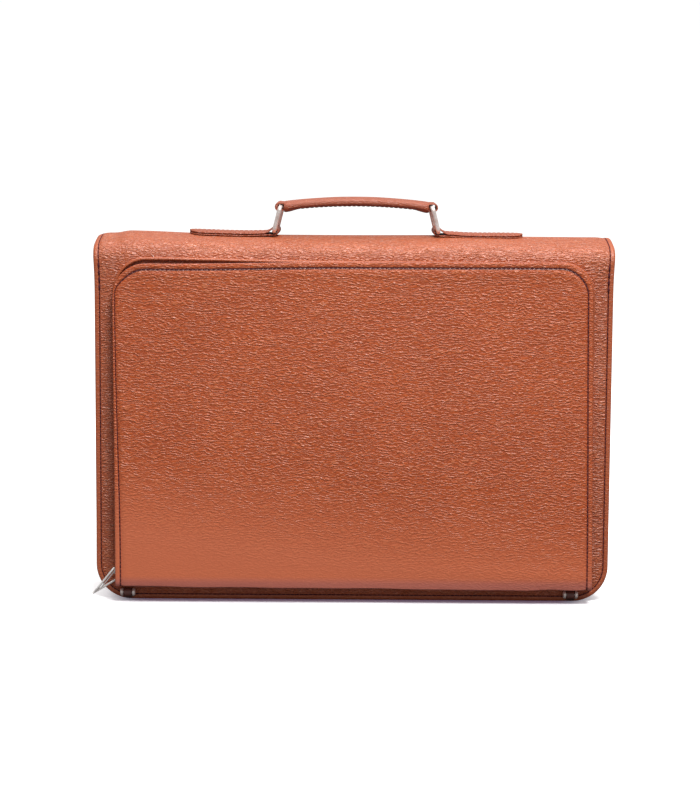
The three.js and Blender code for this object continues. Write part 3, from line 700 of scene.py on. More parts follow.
# A point over the shell: across by u, along the sheet by s, raised by h along the surface normal.
def onShell(u, s, h):
    u, s, h = np.broadcast_arrays(u, s, h)
    y, z, ny, nz = readProfile(shellTable, s + shellSpare)
    z = z + nz * h + crownShift(u) * np.maximum(nz, 0)
    size, start, run = crown["flare"]
    over, reach = crown["flareRows"]
    flare = size * np.sign(u) * smoothStep((np.abs(u) - start) / run) * bump(s, rollHeight + over, reach)
    return np.stack([u + flare, y + ny * h, z], -1)


def hideSwell(u, s):  # slow hills of a few tenths of a millimetre, so that no wall is dead flat
    waves = np.sin(u / 47 + s / 61 + 0.6) + 0.7 * np.sin(u / 83 - s / 38 + 2.1) + 0.4 * np.sin(u / 21 + s / 29)
    return 0.16 * waves


stitchLook = {"pitch": 3.5, "length": 2.9, "radius": 0.5}
nearEdge = np.array([0.0, 0.8, 1.6, 2.3, 2.9, 3.45, 4.0, 4.8, 6.0, 8.0, 10.5, 13.5])
# Forms along the sheet's edge: height, distance from the edge, and reach.
sheetEdge = {
    "sunk": (-1.3, 2.9, 0.7),  # under the binding
    "groove": (-0.12, 4.4, 0.7),
    "swell": (0.2, 9.0, 3.5),
    "hills": (5.0, 16.0),  # from here inwards the slow hills grow, over this length
    "fleshGap": 0.05,
}


# The sheet dips only where the binding lies over it, so that the two are flush.
def shellSurface():
    s = ((edgeSpaced(sheetLength / 2, nearEdge, shell["rows"]) + 1) / 2 * sheetLength)[:, None]
    toEdge = np.minimum(s, sheetLength - s)
    u = halfWidthAt(toEdge, sheetHalf, sheetCorner) * edgeSpaced(sheetHalf, nearEdge, shell["columns"])[None]
    s = np.broadcast_to(s, u.shape)
    edge = insideBy(u, s, *sheetSpan)
    (depth, under, run), groove, swell = (sheetEdge[key] for key in ("sunk", "groove", "swell"))
    h = depth * (1 - smoothStep((edge - under) / run))
    for height, middle, reach in (groove, swell):
        h = h + height * bump(edge, middle, reach)
    start, run = sheetEdge["hills"]
    h = h + hideSwell(u, s) * smoothStep((edge - start) / run)
    return onShell(u, s, h), onShell(u, s, np.full_like(h, -shell["leather"]) + sheetEdge["fleshGap"])


outer, inner = shellSurface()
shellPiece = addPiece(
    "shellLeather", sheetSolid(outer, inner), shellLeather, "bag", ("shell_sheet",),
)
shellPiece.data.materials.append(fleshSide)
faceCount = (outer.shape[0] - 1) * (outer.shape[1] - 1)
innerFaces = np.zeros(len(shellPiece.data.polygons), int)
innerFaces[faceCount:2 * faceCount] = 1
shellPiece.data.polygons.foreach_set("material_index", innerFaces)

# The binding's section: distance outwards from the sheet's edge, and height over the sheet.
bindingSection = np.array([
    (-3.5, -1.2), (-3.5, -0.25), (-3.42, -0.05), (-3.2, 0.02), (-2.98, -0.02), (-2.8, -0.3), (-2.5, -0.5),
    (-2.2, -0.3), (-2.02, 0.0), (-1.6, 0.1), (-0.8, 0.12), (-0.1, 0.08), (0.6, -0.12), (1.1, -0.5),
    (1.35, -1.0), (1.4, -1.7), (1.3, -2.6), (1.0, -3.2), (0.4, -3.5), (-0.5, -3.6), (-3.2, -3.6),
    (-3.5, -3.3), (-3.5, -2.35), (0.25, -2.35), (0.3, -1.8), (0.25, -1.2),
])
bindingGroove = (4, 8)  # the section's corners between which it dips for the seam
seam = {"inset": 2.5, "sunk": 0.3}
tack = {"pitch": 5.4, "length": 4.8, "radius": 0.85, "lift": 0.05, "from": 24, "to": 2}  # from the roll down


# Carries a section of (outwards, height) round an outline on a surface.
def edgeStrip(surface, outline, section, closed, share=1.0):
    u, v = outBy(*outline, section[None, :, 0] * share)
    points = surface(u, v, np.broadcast_to(section[None, :, 1], u.shape))
    return points.reshape(-1, 3), tubeFaces(*points.shape[:2], closed)


# Gives the faces between two corners of a strip's section a darker leather: painted shade in a groove or gap.
def shadeGroove(item, sides, *spans):
    item.data.materials.append(seamShadeLeather)
    column = np.arange(len(item.data.polygons)) % sides
    shaded = sum(((column >= first) & (column < last)).astype(int) for first, last in spans)
    item.data.polygons.foreach_set("material_index", shaded)


# A row of stitches on a surface at a height, upright on it.
def stitchesOn(surface, u, v, height, look):
    points, above = (surface(u, v, np.full_like(u, height + over)) for over in (0, 1))
    return stitchSolid(points, unit(above - points), look)


# A row of them out by a distance from an outline.
def edgeStitches(surface, outline, outwards, height, closed):
    place, normal = outline
    if closed:
        place, normal = (np.vstack([values, values[:1]]) for values in (place, normal))
    u, v = place[:, 0] + normal[:, 0] * outwards, place[:, 1] + normal[:, 1] * outwards
    return stitchesOn(surface, u, v, height, stitchLook)


shellOutline = roundOutline(*sheetSpan)
bindingPiece = addPiece(
    "edgeBinding", edgeStrip(onShell, shellOutline, bindingSection, True), bindingLeather, "bag",
    ("edge_binding",), sharp=70,
)
# The binding's seam groove takes painted shade.
shadeGroove(bindingPiece, len(bindingSection), bindingGroove)
bindingSeam = edgeStitches(onShell, shellOutline, -seam["inset"], -seam["sunk"], True)
addPiece("bindingStitches", bindingSeam, thread, "bag")


# The seam is tacked with heavier stitches where the sides start to turn over.
def tackStitches():
    along = np.linspace(rollHeight - tack["from"], rollHeight - tack["to"], 30)
    u = np.full_like(along, sheetHalf - seam["inset"])
    return joinSolids([stitchesOn(onShell, side * u, along, tack["lift"], tack) for side in (-1, 1)])


addPiece("tackStitches", tackStitches(), thread, "bag")
print("shell and binding made")


# gusset and front wall

gusset = {
    "inset": 6.0,
    "leather": 2.0,
    "drop": 4.0,
    "from": 2.5,
    "to": 63.8,
    "columns": 30,
    "tuck": 2.2,  # how far the sides fold in at the middle of their depth
    "tuckRows": (30, 120),  # the height where the fold starts, and over what length
    "ripple": 0.25,
}


# The band's line: down the left side, round the bottom and up the right, with outward normals.
def bandLine(insetBy, top, step=3.0):
    half = shell["width"] / 2 - insetBy
    place, normal = roundOutline(half, insetBy, 2 * top, shell["corner"] - insetBy, step)
    low = place[:, 1] < top
    start = int(np.argmax(~low & (place[:, 0] > 0)))
    place, normal, low = (np.roll(values, -start, 0) for values in (place, normal, low))
    place, normal = place[low], normal[low]
    ends = np.array([[half, top]]), np.array([[1.0, 0.0]])
    place = np.vstack([ends[0], place, ends[0] * [-1, 1]])
    normal = np.vstack([ends[1], normal, -ends[1]])
    return place, normal


def gussetSolid():
    top = rollHeight - gusset["drop"]
    place, normal = bandLine(gusset["inset"], top)
    y = np.linspace(gusset["from"], gusset["to"], gusset["columns"])[None]
    share = (y - gusset["from"]) / (gusset["to"] - gusset["from"])
    height = place[:, 1:]
    middle = np.sin(math.pi * share)
    start, run = gusset["tuckRows"]
    tuck = gusset["tuck"] * middle ** 2 * smoothStep((height - start) / run)
    tuck = tuck + gusset["ripple"] * np.sin(height / 23 + share * 5) * middle

    def wall(offset):
        x = place[:, :1] + normal[:, :1] * (offset - tuck)
        z = place[:, 1:] + normal[:, 1:] * (offset - tuck * 0.2)
        return np.stack([x, np.broadcast_to(y, x.shape), z], -1)

    return sheetSolid(wall(0), wall(-gusset["leather"]))


addPiece("gussetLeather", gussetSolid(), shellLeather, "bag", ("gusset",))

wallLook = {
    "inner": 64.1,
    "leather": 2.0,
    "drop": 10.0,
    "columns": 90,
    "rows": 70,
    "shy": 0.4,  # its edges end this far inside the shell's
    "seam": 3.9,
    "seamSunk": 0.35,
    "groove": (-0.45, 0.9),  # height and reach along the seam
    "rounded": (-0.5, 1.2),  # height and run of the rounded edge
}
wallTop = rollHeight - wallLook["drop"]
wallSpan = (shell["width"] / 2, 0.0, wallTop + 60, shell["corner"])


def onWall(u, v, h):  # the wall behind the flap, raised towards the flap
    u, v, h = np.broadcast_arrays(u, v, h)
    y = wallLook["inner"] + wallLook["leather"] + h
    return np.stack([u, y, v], -1)


def frontWallSolid():
    v = (np.linspace(0, 1, wallLook["rows"]) ** 1.3 * wallTop)[:, None]
    shy, (groove, reach), (drop, run) = (wallLook[key] for key in ("shy", "groove", "rounded"))
    u = (halfWidthAt(v, wallSpan[0], wallSpan[3]) - shy) * denseEnds(wallLook["columns"], 0.5)[None]
    v = np.broadcast_to(v, u.shape) * (1 - shy / wallTop) + shy
    edge = insideBy(u, v, *wallSpan)
    turn = 1 - smoothStep(edge / run)
    h = groove * bump(edge, wallLook["seam"], reach) + drop * turn
    back = 0.4 * turn - wallLook["leather"]
    return sheetSolid(onWall(u, v, h), onWall(u, v, back))


addPiece("frontWallLeather", frontWallSolid(), shellLeather, "bag", ("front_wall",))
wallSeam = edgeStitches(onWall, bandLine(0.0, wallTop), -wallLook["seam"], -wallLook["seamSunk"], False)
addPiece("frontWallStitches", wallSeam, thread, "bag")
print("gusset and front wall made")


# pocket

pocket = {
    "half": 181.5,
    "top": 261.0,
    "bottom": 11.0,
    "topDepth": 8.0,
    "depth": 16.0,
    "corner": 25.0,
    "leather": 2.0,
    "fold": 5.0,
    "bulge": 1.2,
    "columns": 150,
    "rows": 130,
    "leftSink": 2.1,  # the upper edge sags at its left
    "rightRise": 0.4,
    "sinkRows": 70.0,  # the sag dies out over this length down
    "grow": 140.0,  # from the middle outwards, the sag and the sides' lean grow over this length
    "crease": 2.4,  # outer radius of the pressed fold
    "leanLeft": (0.0, 1.5),  # how far the sides stand to the right, at the top and at the fold
    "leanRight": (-1.65, 0.7),
    "lip": 0.8,  # the face ends this far inside the turned edge
}
# The pocket's bottom edge hangs in waves: heights, their middles along u, and their reaches.
hem = {
    "level": 0.35,
    "slope": -0.9 / 181,
    "waves": ((1.1, 152, 13), (-0.35, 128, 11), (0.7, -160, 24), (1.2, 180, 9)),
    "ripple": 0.22,
    "high": 46.0,  # above this height nothing hangs
    "fade": 34.0,
}
foldHeight = pocket["bottom"] + pocket["fold"]
creaseHeight = pocket["bottom"] + pocket["crease"]
faceLean = math.atan((pocket["depth"] - pocket["topDepth"]) / (pocket["top"] - creaseHeight))
pocketTable = profileTable([
    straightPart((-0.3, pocket["bottom"]), (pocket["crease"] - pocket["depth"], pocket["bottom"]), (0, -1), 12),
    arcPart((pocket["crease"] - pocket["depth"], creaseHeight), pocket["crease"], 270, 180),
    straightPart(
        (-pocket["depth"], creaseHeight), (-pocket["topDepth"], pocket["top"]),
        (-math.cos(faceLean), math.sin(faceLean)),
    ),
])
pocketLength = pocketTable[0][-1]
pocketSpan = (pocket["half"], 0.0, pocketLength, pocket["corner"])


# A point over the pocket: across by u, up from the hem by v, raised by h.
def onPocket(u, v, h):
    u, v, h = np.broadcast_arrays(u, v, h)
    y, z, ny, nz = readProfile(pocketTable, v)
    fromTop = pocketLength - v
    sink = pocket["leftSink"] * smoothStep(-u / pocket["grow"]) - pocket["rightRise"] * smoothStep(u / pocket["grow"])
    z = z - sink * smoothStep(1 - fromTop / pocket["sinkRows"])
    low = smoothStep((hem["high"] - z) / hem["fade"])
    wave = hem["level"] + hem["slope"] * u + hem["ripple"] * np.sin(u / 11) * np.sin(u / 37 + 1)
    wave = wave + sum(height * bump(u, middle, reach) for height, middle, reach in hem["waves"])
    z = z + wave * low * smoothStep((v - 5) / 8)  # the hem itself lies straight along the back
    rows = np.sin(math.pi * np.clip((pocket["top"] - z) / (pocket["top"] - foldHeight), 0, 1))
    across = 1 - (u / pocket["half"]) ** 2
    out = pocket["bulge"] * rows * smoothStep(across) * (nz > -0.01)
    down = smoothStep((pocket["top"] - z) / 250)
    leans = [pocket[key][0] * (1 - down) + pocket[key][1] * down for key in ("leanLeft", "leanRight")]
    aside = np.where(u < 0, *leans) * smoothStep(np.abs(u) / pocket["grow"])
    return np.stack([u + aside, y + ny * h - out, z + nz * h], -1)


# The turned edge is widest along the top and narrowest at the left side's upper end.
lip = {
    "top": 1.3,  # widths are shares of the section's
    "topRows": (22, 16),  # from the top down, and over what length it widens
    "left": (0.5, 0.65),  # at the upper end, and what it gains downwards
    "leftRows": (40, 190),
    "right": 1.1,
    "seamInset": 3.5,
    "seamSunk": 0.4,
    "grooves": ((1, 4), (9, 13)),  # the section's corners round the seam, painted shade in its groove, and down its outer side, the raw edge's darker colour with painted shade of the gap
}
# Forms on the pocket's face: height, distance from the turned edge or the hem, and reach.
faceForms = {
    "sunk": (-0.85, 0.6, 1.8),
    "swell": (0.2, 4, 3),
    "hills": (1.3, 5, 20),
    "creases": (0.3, 22, 12),  # soft ones by the fold, towards the right
}


def lipWidth(u, v):
    down, run = lip["topRows"]
    atTop = smoothStep((v - pocketLength + down) / run)
    down, run = lip["leftRows"]
    atLeft = lip["left"][0] + lip["left"][1] * smoothStep((pocketLength - down - v) / run)
    return lip["top"] * atTop + (1 - atTop) * np.where(u < 0, atLeft, lip["right"])


def pocketSurface():
    t = np.linspace(0, 1, pocket["rows"])
    length = pocketLength - pocket["lip"]
    v = (length - length * (0.6 * t + 0.4 * t ** 2.4))[::-1][:, None]
    half = halfWidthAt(pocketLength - v, pocket["half"], pocket["corner"]) - pocket["lip"]
    u = half * denseEnds(pocket["columns"], 0.5)[None]
    v = np.broadcast_to(v, u.shape)
    edge = insideBy(u, v, *pocketSpan, open=True)
    border = lipWidth(u, v) * 4.0
    height, under, run = faceForms["sunk"]
    h = height * (1 - smoothStep((edge - border + under) / run))
    height, within, reach = faceForms["swell"]
    h = h + height * bump(edge, border + within, reach)
    height, start, run = faceForms["hills"]
    h = h + hideSwell(u + 200, v) * height * smoothStep((edge - start) / run)
    height, middle, reach = faceForms["creases"]
    h = h + height * np.sin(v / 4.5 + u / 90) * bump(v, middle, reach) * smoothStep((u + 60) / 200)
    return onPocket(u, v, h), onPocket(u, v, np.full_like(u, -pocket["leather"]))


pocketFace = sheetSolid(*pocketSurface())
addPiece("pocketFace", pocketFace, pocketLeather, "bag", ("pocket_front",))

# The pocket's turned edge: distance outwards from the pocket's edge, and height.
lipSection = np.array([
    (-4.2, -0.7), (-4.0, -0.1), (-3.5, -0.5), (-3.3, -0.5), (-3.0, -0.1), (-2.6, 0.1), (-1.8, 0.16), (-1.0, 0.16),
    (-0.5, 0.0), (-0.15, -0.3), (0.0, -0.7), (0.0, -1.3), (-0.2, -1.75), (-0.6, -2.0), (-4.2, -2.05), (-4.2, -1.5),
])
pocketOutline = roundOutline(*pocketSpan, open=True)
lipShare = lipWidth(*pocketOutline[0].T)[:, None]
lipPiece = addPiece(
    "pocketEdge", edgeStrip(onPocket, pocketOutline, lipSection, False, lipShare), pocketLeather, "bag",
    sharp=70,
)
shadeGroove(lipPiece, len(lipSection), *lip["grooves"])
seamPlace = -lip["seamInset"] * lipShare[:, 0]
pocketSeam = edgeStitches(onPocket, pocketOutline, seamPlace, -lip["seamSunk"], False)
addPiece("pocketStitches", pocketSeam, thread, "bag")


looseThread = {"starts": ((-150.5, 259.5), (158.5, 256.5)), "radius": 0.34, "lift": 0.35, "curl": 0.8}


# Loose thread ends over the pocket's two upper corners, each a short curl on the shell.
def threadEnds():
    t = np.linspace(0, 1, 12)
    off = looseThread["lift"] + looseThread["curl"] * t * (1 - t) * 4
    girth = looseThread["radius"] * (1.02 - t ** 4)
    lines = [onShell(u - 1.6 * t ** 2, high + 4.2 * t - 1.2 * t ** 2, off) for u, high in looseThread["starts"]]
    return joinSolids([tubeSolid(line, girth, 8) for line in lines])


addPiece("threadEnds", threadEnds(), paleThread, "bag")
print("pocket made")


# zip

zipLook = {
    "inset": 10.0,
    "tape": 1.4,
    "start": 16.5,
    "teethStart": 29.7,
    "teethPitch": 1.9,
    "share": 0.6,  # how far the teeth lie from the back towards the pocket's face
    "clear": 0.3,  # what the tape and the teeth keep from their neighbours' faces
}


# Line round the pocket's sides and top in x and z, inset from its edge, with outward normals.
def pocketLine(insetBy, start, step=2.0):
    half, radius = pocket["half"] - insetBy, pocket["corner"] - insetBy
    return roundOutline(half, start, pocket["top"] - insetBy, radius, step, open=True)


def pocketInsideAt(z):  # y of the pocket's inner face at a height
    face = pocket["leather"] - np.interp(z, [foldHeight, pocket["top"]], [pocket["depth"], pocket["topDepth"]])
    depth = np.clip(foldHeight - z, 0, pocket["fold"] - pocket["leather"])
    inFold = pocket["fold"] - pocket["depth"] - np.sqrt((pocket["fold"] - pocket["leather"]) ** 2 - depth ** 2)
    return np.where(z >= foldHeight, face, inFold)


def inSpace(place, y):
    return np.stack([place[:, 0], np.broadcast_to(y, place[:, 0].shape), place[:, 1]], -1)


def tapeSolid():
    place, normal = pocketLine(zipLook["inset"], zipLook["start"])
    share = np.linspace(0, 1, 8)[None]
    deep = (pocketInsideAt(place[:, 1]) + zipLook["clear"])[:, None]
    y = -zipLook["clear"] * (1 - share) + deep * share

    def wall(offset):
        x, z = outBy(place, normal, offset)
        return np.stack([np.broadcast_to(x, y.shape), y, np.broadcast_to(z, y.shape)], -1)

    return sheetSolid(wall(0), wall(-zipLook["tape"]))


addPiece("zipTape", tapeSolid(), tapeCloth, "bag", ("zip_tape",))

weltSection = np.array([
    (0.0, 0.3), (0.0, 1.9), (-0.3, 2.6), (-0.9, 2.95), (-1.6, 2.9), (-2.2, 2.4), (-2.4, 1.7), (-2.4, 0.3),
])
weltLift = 1.9  # by its upper left corner, where the pocket's edge sags and shows it


def weltSolid():
    place, normal = pocketLine(0.0, foldHeight)
    lift = weltLift * smoothStep((-place[:, :1] - 20) / 130) * smoothStep((place[:, 1:] - 215) / 45)
    x, z = outBy(place, normal, weltSection[None, :, 0])
    y = np.broadcast_to(-weltSection[None, :, 1], x.shape)
    return np.stack([x, y, z + lift], -1).reshape(-1, 3), tubeFaces(*x.shape)


addPiece("pocketWelt", weltSolid(), bindingLeather, "bag", ("pocket_welt",), sharp=60)


# Teeth: small bars that lie across the tape by turns, a little off its middle to either side.
def teethSolid():
    place, normal = pocketLine(zipLook["inset"] - zipLook["clear"], zipLook["teethStart"])
    middle = pocketInsideAt(place[:, 1]) * zipLook["share"]
    points = inSpace(place, middle)
    outwards = np.stack([normal[:, 0], 0 * normal[:, 0], normal[:, 1]], -1)
    centre, tangent, out = marksAlong(points, outwards, zipLook["teethPitch"] / 2, 0.8)
    side = unit(np.cross(tangent, out))
    turn = np.where(np.arange(len(centre)) % 2, 1.0, -1.0)
    ring = np.array([(-0.32, 0.0), (0.32, 0.0), (0.36, 0.7), (0.2, 1.15), (-0.2, 1.15), (-0.36, 0.7)])
    across = np.array([-1.35, -1.1, 1.1, 1.35])
    taper = np.array([0.6, 1.0, 1.0, 0.6])
    shape = (
        centre[:, None, None]
        + tangent[:, None, None] * (taper[:, None] * ring[None, :, 0])[None, :, :, None]
        + out[:, None, None] * (0.15 + taper[:, None] * ring[None, :, 1])[None, :, :, None]
        + side[:, None, None] * (across[None, :] + turn[:, None] * 0.55)[:, :, None, None]
    )
    return shape.reshape(-1, 3), pegFaces(len(centre), len(across))


addPiece("zipTeeth", teethSolid(), ringMetal, "bag", ("zip_teeth",))

pull = {
    "height": 23.2,
    "length": 26.1,
    "fork": 24.5,
    "spread": 4.6,
    "twist": 4.2,
    "angle": 41.5,
    "lowReach": 1.15,
    "wire": 0.8,
    "lowerWire": 0.85,
    "rib": 0.45,
}
slider = {"length": 11.0, "width": 4.8, "thickness": 2.2, "reach": 3.9, "hole": 2.2, "wall": 1.4, "bail": 1.8}
sliderFace = -(pocket["half"] - zipLook["inset"]) - zipLook["clear"]
pivotDepth = float(pocketInsideAt(pull["height"])) * zipLook["share"]
pivot = np.array([sliderFace - slider["thickness"] - slider["reach"], pivotDepth, pull["height"]])


# Slider: a waisted plate that stands off the tape, and a ring of flat wire as its bail.
def sliderSolid():
    t = np.linspace(-1, 1, 17)
    z = pull["height"] + t * slider["length"] / 2
    wide = slider["width"] / 2 * (0.78 + 0.22 * np.cos(math.pi * t) ** 2) * np.sqrt(1.001 - np.abs(t) ** 6)
    thick = slider["thickness"] / 2 * np.sqrt(1.001 - np.abs(t) ** 8)
    base = roundSection(1, 1, 20, 4)
    section = base[None] * np.stack([thick, wide], -1)[:, None]
    centre = np.stack([np.full_like(z, sliderFace - slider["thickness"] / 2), np.full_like(z, pivot[1]), z], -1)
    plate = sweepSolid(centre, (1.0, 0, 0), (0, 1.0, 0), section)
    angle = np.linspace(0, 2 * math.pi, 32, endpoint=False)
    radial = np.stack([np.cos(angle), 0 * angle, np.sin(angle)], -1)
    ring = pivot + radial * (slider["hole"] + slider["wall"] / 2)
    wire = roundSection(slider["wall"] / 2, slider["bail"] / 2, 12, 3)
    bail = sweepSolid(ring, radial, (0, 1.0, 0), wire, closed=True)
    return joinSolids([plate, bail])


addPiece("zipSlider", sliderSolid(), pullMetal, "bag", ("zip_slider",))


# Pull: a wire bent into a narrow fork round the bail, with a tail where its legs meet and a rib inside.
def pullSolid():
    angle = math.radians(pull["angle"])
    along = np.array([-math.cos(angle), 0, -math.sin(angle)])
    across = np.array([-math.sin(angle), 0, math.cos(angle)]) * pull["spread"]
    twist = np.array([0, -pull["twist"], 0])
    upper, lower = pivot + across + twist, pivot - across * pull["lowReach"] - twist
    fork, tip = pivot + along * pull["fork"], pivot + along * pull["length"]
    wires = [
        (upper, lower, pull["wire"]),
        (upper, fork, pull["wire"]),
        (lower, fork, pull["lowerWire"]),
        (fork, tip, pull["wire"]),
        (upper * 0.8 + lower * 0.2, lower * 0.2 + fork * 0.8, pull["rib"]),
    ]
    share = np.array([-0.02, -0.012, 0.0, 0.25, 0.5, 0.75, 1.0, 1.012, 1.02])[:, None]
    girth = np.array([0.35, 0.8, 1, 1, 1, 1, 1, 0.8, 0.35])
    return joinSolids([
        tubeSolid(start * (1 - share) + end * share, radius * girth, 14, aside=(0.2, 1, 0.1))
        for start, end, radius in wires
    ])


addPiece("zipPull", pullSolid(), pullMetal, "pull", ("zip_pull",))
print("zip made")


# tabs, rings and handle

handle = {
    "shift": 1.5,
    "tabLength": 65.3,
    "tabWidth": 20.0,
    "ringPlay": 0.4,  # the rings are this much wider than the tabs, on each side
    "tabLeather": 1.3,  # room for one layer between the top and the ring's eye
    "tabThick": 1.15,
    "tabLeaves": 0.9,  # angle on the bar where the upper layer leaves it
    "tabReturns": math.radians(262),  # and where the lower one does
    "tabDip": (0.0, 0.35),
    "tabSlit": 0.4,
    "tabRamp": 9.0,
    "tabSeam": 2.2,
    "eye": 2.2,  # radius round a ring's wire
    "wire": 1.6,
    "foot": 61.5,  # middle to a ring's lower bar
    "head": 57.0,  # middle to its upper bar
    "rise": 18.3,
    "ringCorner": 2.5,
    "strapWidth": 15.0,
    "strapLeather": 1.2,
    "eyeTravel": 1.2,
    "toe": 0.075,  # the rings' near sides stand this much further out, per millimetre of depth
    "arch": 3.9,
}
footHeight = shell["height"] + 0.3 + handle["tabLeather"] + handle["eye"]
headHeight = footHeight + handle["rise"]
midDepth = shell["depth"] / 2


# A line of points in (x, z) given a width across y, thickened by half its thickness to both sides.
def strapSolid(line, halfWidth, thickness, columns=15, closed=False, place=(0, 0, 0)):
    line = np.asarray(line, float)
    if closed:
        tangent = unit(np.roll(line, -1, 0) - np.roll(line, 1, 0))
    else:
        tangent = unit(np.gradient(line, axis=0))
    normal = np.stack([-tangent[:, 1], tangent[:, 0]], -1)
    thickness = np.broadcast_to(thickness, (len(line),))[:, None]
    share = denseEnds(columns, 0.4)[None]
    y = np.broadcast_to(halfWidth, (len(line),))[:, None] * share
    crownOff = 0.12 * (1 - share ** 2)

    def face(offset):
        lift = offset / 2 * thickness * (1 - 0.35 * np.abs(share) ** 12) + np.sign(offset) * crownOff * 0.5
        x, z = outBy(line, normal, lift)
        return np.stack([x, y, z], -1) + np.asarray(place, float)

    upper, lower = face(1), face(-1)
    if not closed:
        return sheetSolid(upper, lower)
    ring = np.concatenate([upper, lower[:, ::-1]], 1)
    return ring.reshape(-1, 3), tubeFaces(*ring.shape[:2], closed=True)


# The rings stand a little askew, near sides further out, and the leather round them goes with them.
def toedIn(points, side, share=1.0):
    outwards = side * handle["toe"] * (midDepth - points[:, 1]) * share
    return points + outwards[:, None] * np.array([1.0, 0, 0])


# How far the tab's upper layer lies over the ring bar's height, at a distance from the bar.
def tabUpper(x):
    high = handle["tabSlit"] + 1.5 * handle["tabThick"] - handle["eye"] - handle["tabLeather"]
    wide = handle["eye"] + handle["tabThick"] / 2
    start = wide * math.cos(handle["tabLeaves"])
    fall = np.clip(1 - (x - start) / (handle["tabRamp"] - start), 0, 1)
    return high + (wide * math.sin(handle["tabLeaves"]) - high) * fall ** 2.2


# The tab for one side: from the tip of its upper layer, round the ring's bar and back under it.
def tabLine():
    wide = handle["eye"] + handle["tabThick"] / 2
    low = handle["tabThick"] / 2 - handle["eye"] - handle["tabLeather"]
    start = wide * math.cos(handle["tabLeaves"])
    ramp = handle["tabRamp"]
    x = np.concatenate([np.linspace(handle["tabLength"], ramp + 1, 34), np.linspace(ramp, start, 14)])
    upper = np.stack([x, tabUpper(x)], -1)
    angle = np.linspace(handle["tabLeaves"], handle["tabReturns"], 24)[1:]
    eye = np.stack([wide * np.cos(angle), wide * np.sin(angle)], -1)
    x = np.linspace(1, handle["tabLength"], 36)
    lower = np.stack([x, low + 0 * x], -1)
    return np.vstack([upper, eye, lower])


def tabHalfWidth(x):
    half = handle["tabWidth"] / 2
    past = np.clip((x - (handle["tabLength"] - half)) / half, 0, 0.995)
    return half * np.sqrt(1 - past ** 2)


# Lays a tab's points on the domed top: they follow the crown and sink towards both edges.
def layTab(points, side):
    ahead = side * (points[:, 0] - handle["shift"]) - handle["foot"]
    points = toedIn(points, side, 1 - smoothStep((ahead - 3) / 12))
    share = smoothStep((ahead - 4) / 18)
    sag = (points[:, 1] - midDepth) ** 2 / (2 * domeRadius)
    inUpper = points[:, 2] > footHeight - handle["eye"] - 1.0
    dip = handle["tabDip"][0 if side < 0 else 1] * bump(ahead, 30, 16) * inUpper
    points[:, 2] += share * (crownShift(points[:, 0]) - sag - dip)
    return points


def tabSolid(side):
    line = tabLine()
    half = tabHalfWidth(line[:, 0])
    placed = line * [side, 1] + [handle["shift"] + side * handle["foot"], footHeight]
    points, faces = strapSolid(placed, half, handle["tabThick"], place=(0, midDepth, 0))
    return layTab(points, side), faces


def tabStitches(side):
    x = np.linspace(7, handle["tabLength"] - 10, 60)
    half = handle["tabWidth"] / 2 - handle["tabSeam"]
    angle = np.linspace(math.pi / 2, -math.pi / 2, 30)
    tip = handle["tabLength"] - handle["tabWidth"] / 2
    run = np.concatenate([
        np.stack([x, 0 * x + half], -1),
        np.stack([tip + half * np.cos(angle), half * np.sin(angle)], -1),
        np.stack([x[::-1], 0 * x - half], -1),
    ])
    x = handle["shift"] + side * (handle["foot"] + run[:, 0])
    z = footHeight + tabUpper(run[:, 0]) + handle["tabThick"] / 2
    points = layTab(np.stack([x, midDepth + run[:, 1], z], -1), side)
    return stitchSolid(points, (0, 0, 1.0), fineStitches)


bothSides = ((-1, "left"), (1, "right"))
rounding = ("BEVEL", {"width": 0.00025, "segments": 2, "limit_method": "ANGLE", "angle_limit": 0.9})
fineStitches = {**stitchLook, "radius": 0.3}
for side, word in bothSides:
    addPiece(
        f"tab{word.title()}", tabSolid(side), handleLeather, "bag", (f"tab_{word}",), sharp=60,
        modifiers=[rounding],
    )
    addPiece(f"tabStitches{word.title()}", tabStitches(side), tanThread, "bag")


# Ring: a rounded rectangle of wire that leans inwards; its two sides are cast wider than its bars.
def ringSolid(side):
    foot = np.array([handle["shift"] + side * handle["foot"], midDepth, footHeight])
    head = np.array([handle["shift"] + side * handle["head"], midDepth, headHeight])
    lean = unit(head - foot)
    length = np.linalg.norm(head - foot)
    half = handle["tabWidth"] / 2 + handle["ringPlay"] + handle["wire"]
    place, normal = roundOutline(half, 0, length, handle["ringCorner"], 0.7)
    ahead = np.array([0, 1.0, 0])
    centre = foot + place[:, :1] * ahead + place[:, 1:] * lean
    out = normal[:, :1] * ahead + normal[:, 1:] * lean
    onSide = smoothStep((np.abs(normal[:, 0]) - 0.55) / 0.4)
    wide = handle["wire"] * (1 + 0.06 * onSide)
    section = roundSection(1, 1, 18, 2.4)[None] * np.stack([np.full_like(wide, handle["wire"]), wide], -1)[:, None]
    points, faces = sweepSolid(centre, out, np.cross(lean, ahead), section, closed=True)
    return toedIn(points, side), faces


for side, word in bothSides:
    addPiece(f"ring{word.title()}", ringSolid(side), ringMetal, f"{word}_ring", (f"ring_{word}",))


def gripLine(x):
    return headHeight + handle["arch"] * (1 - (x / handle["head"]) ** 2)


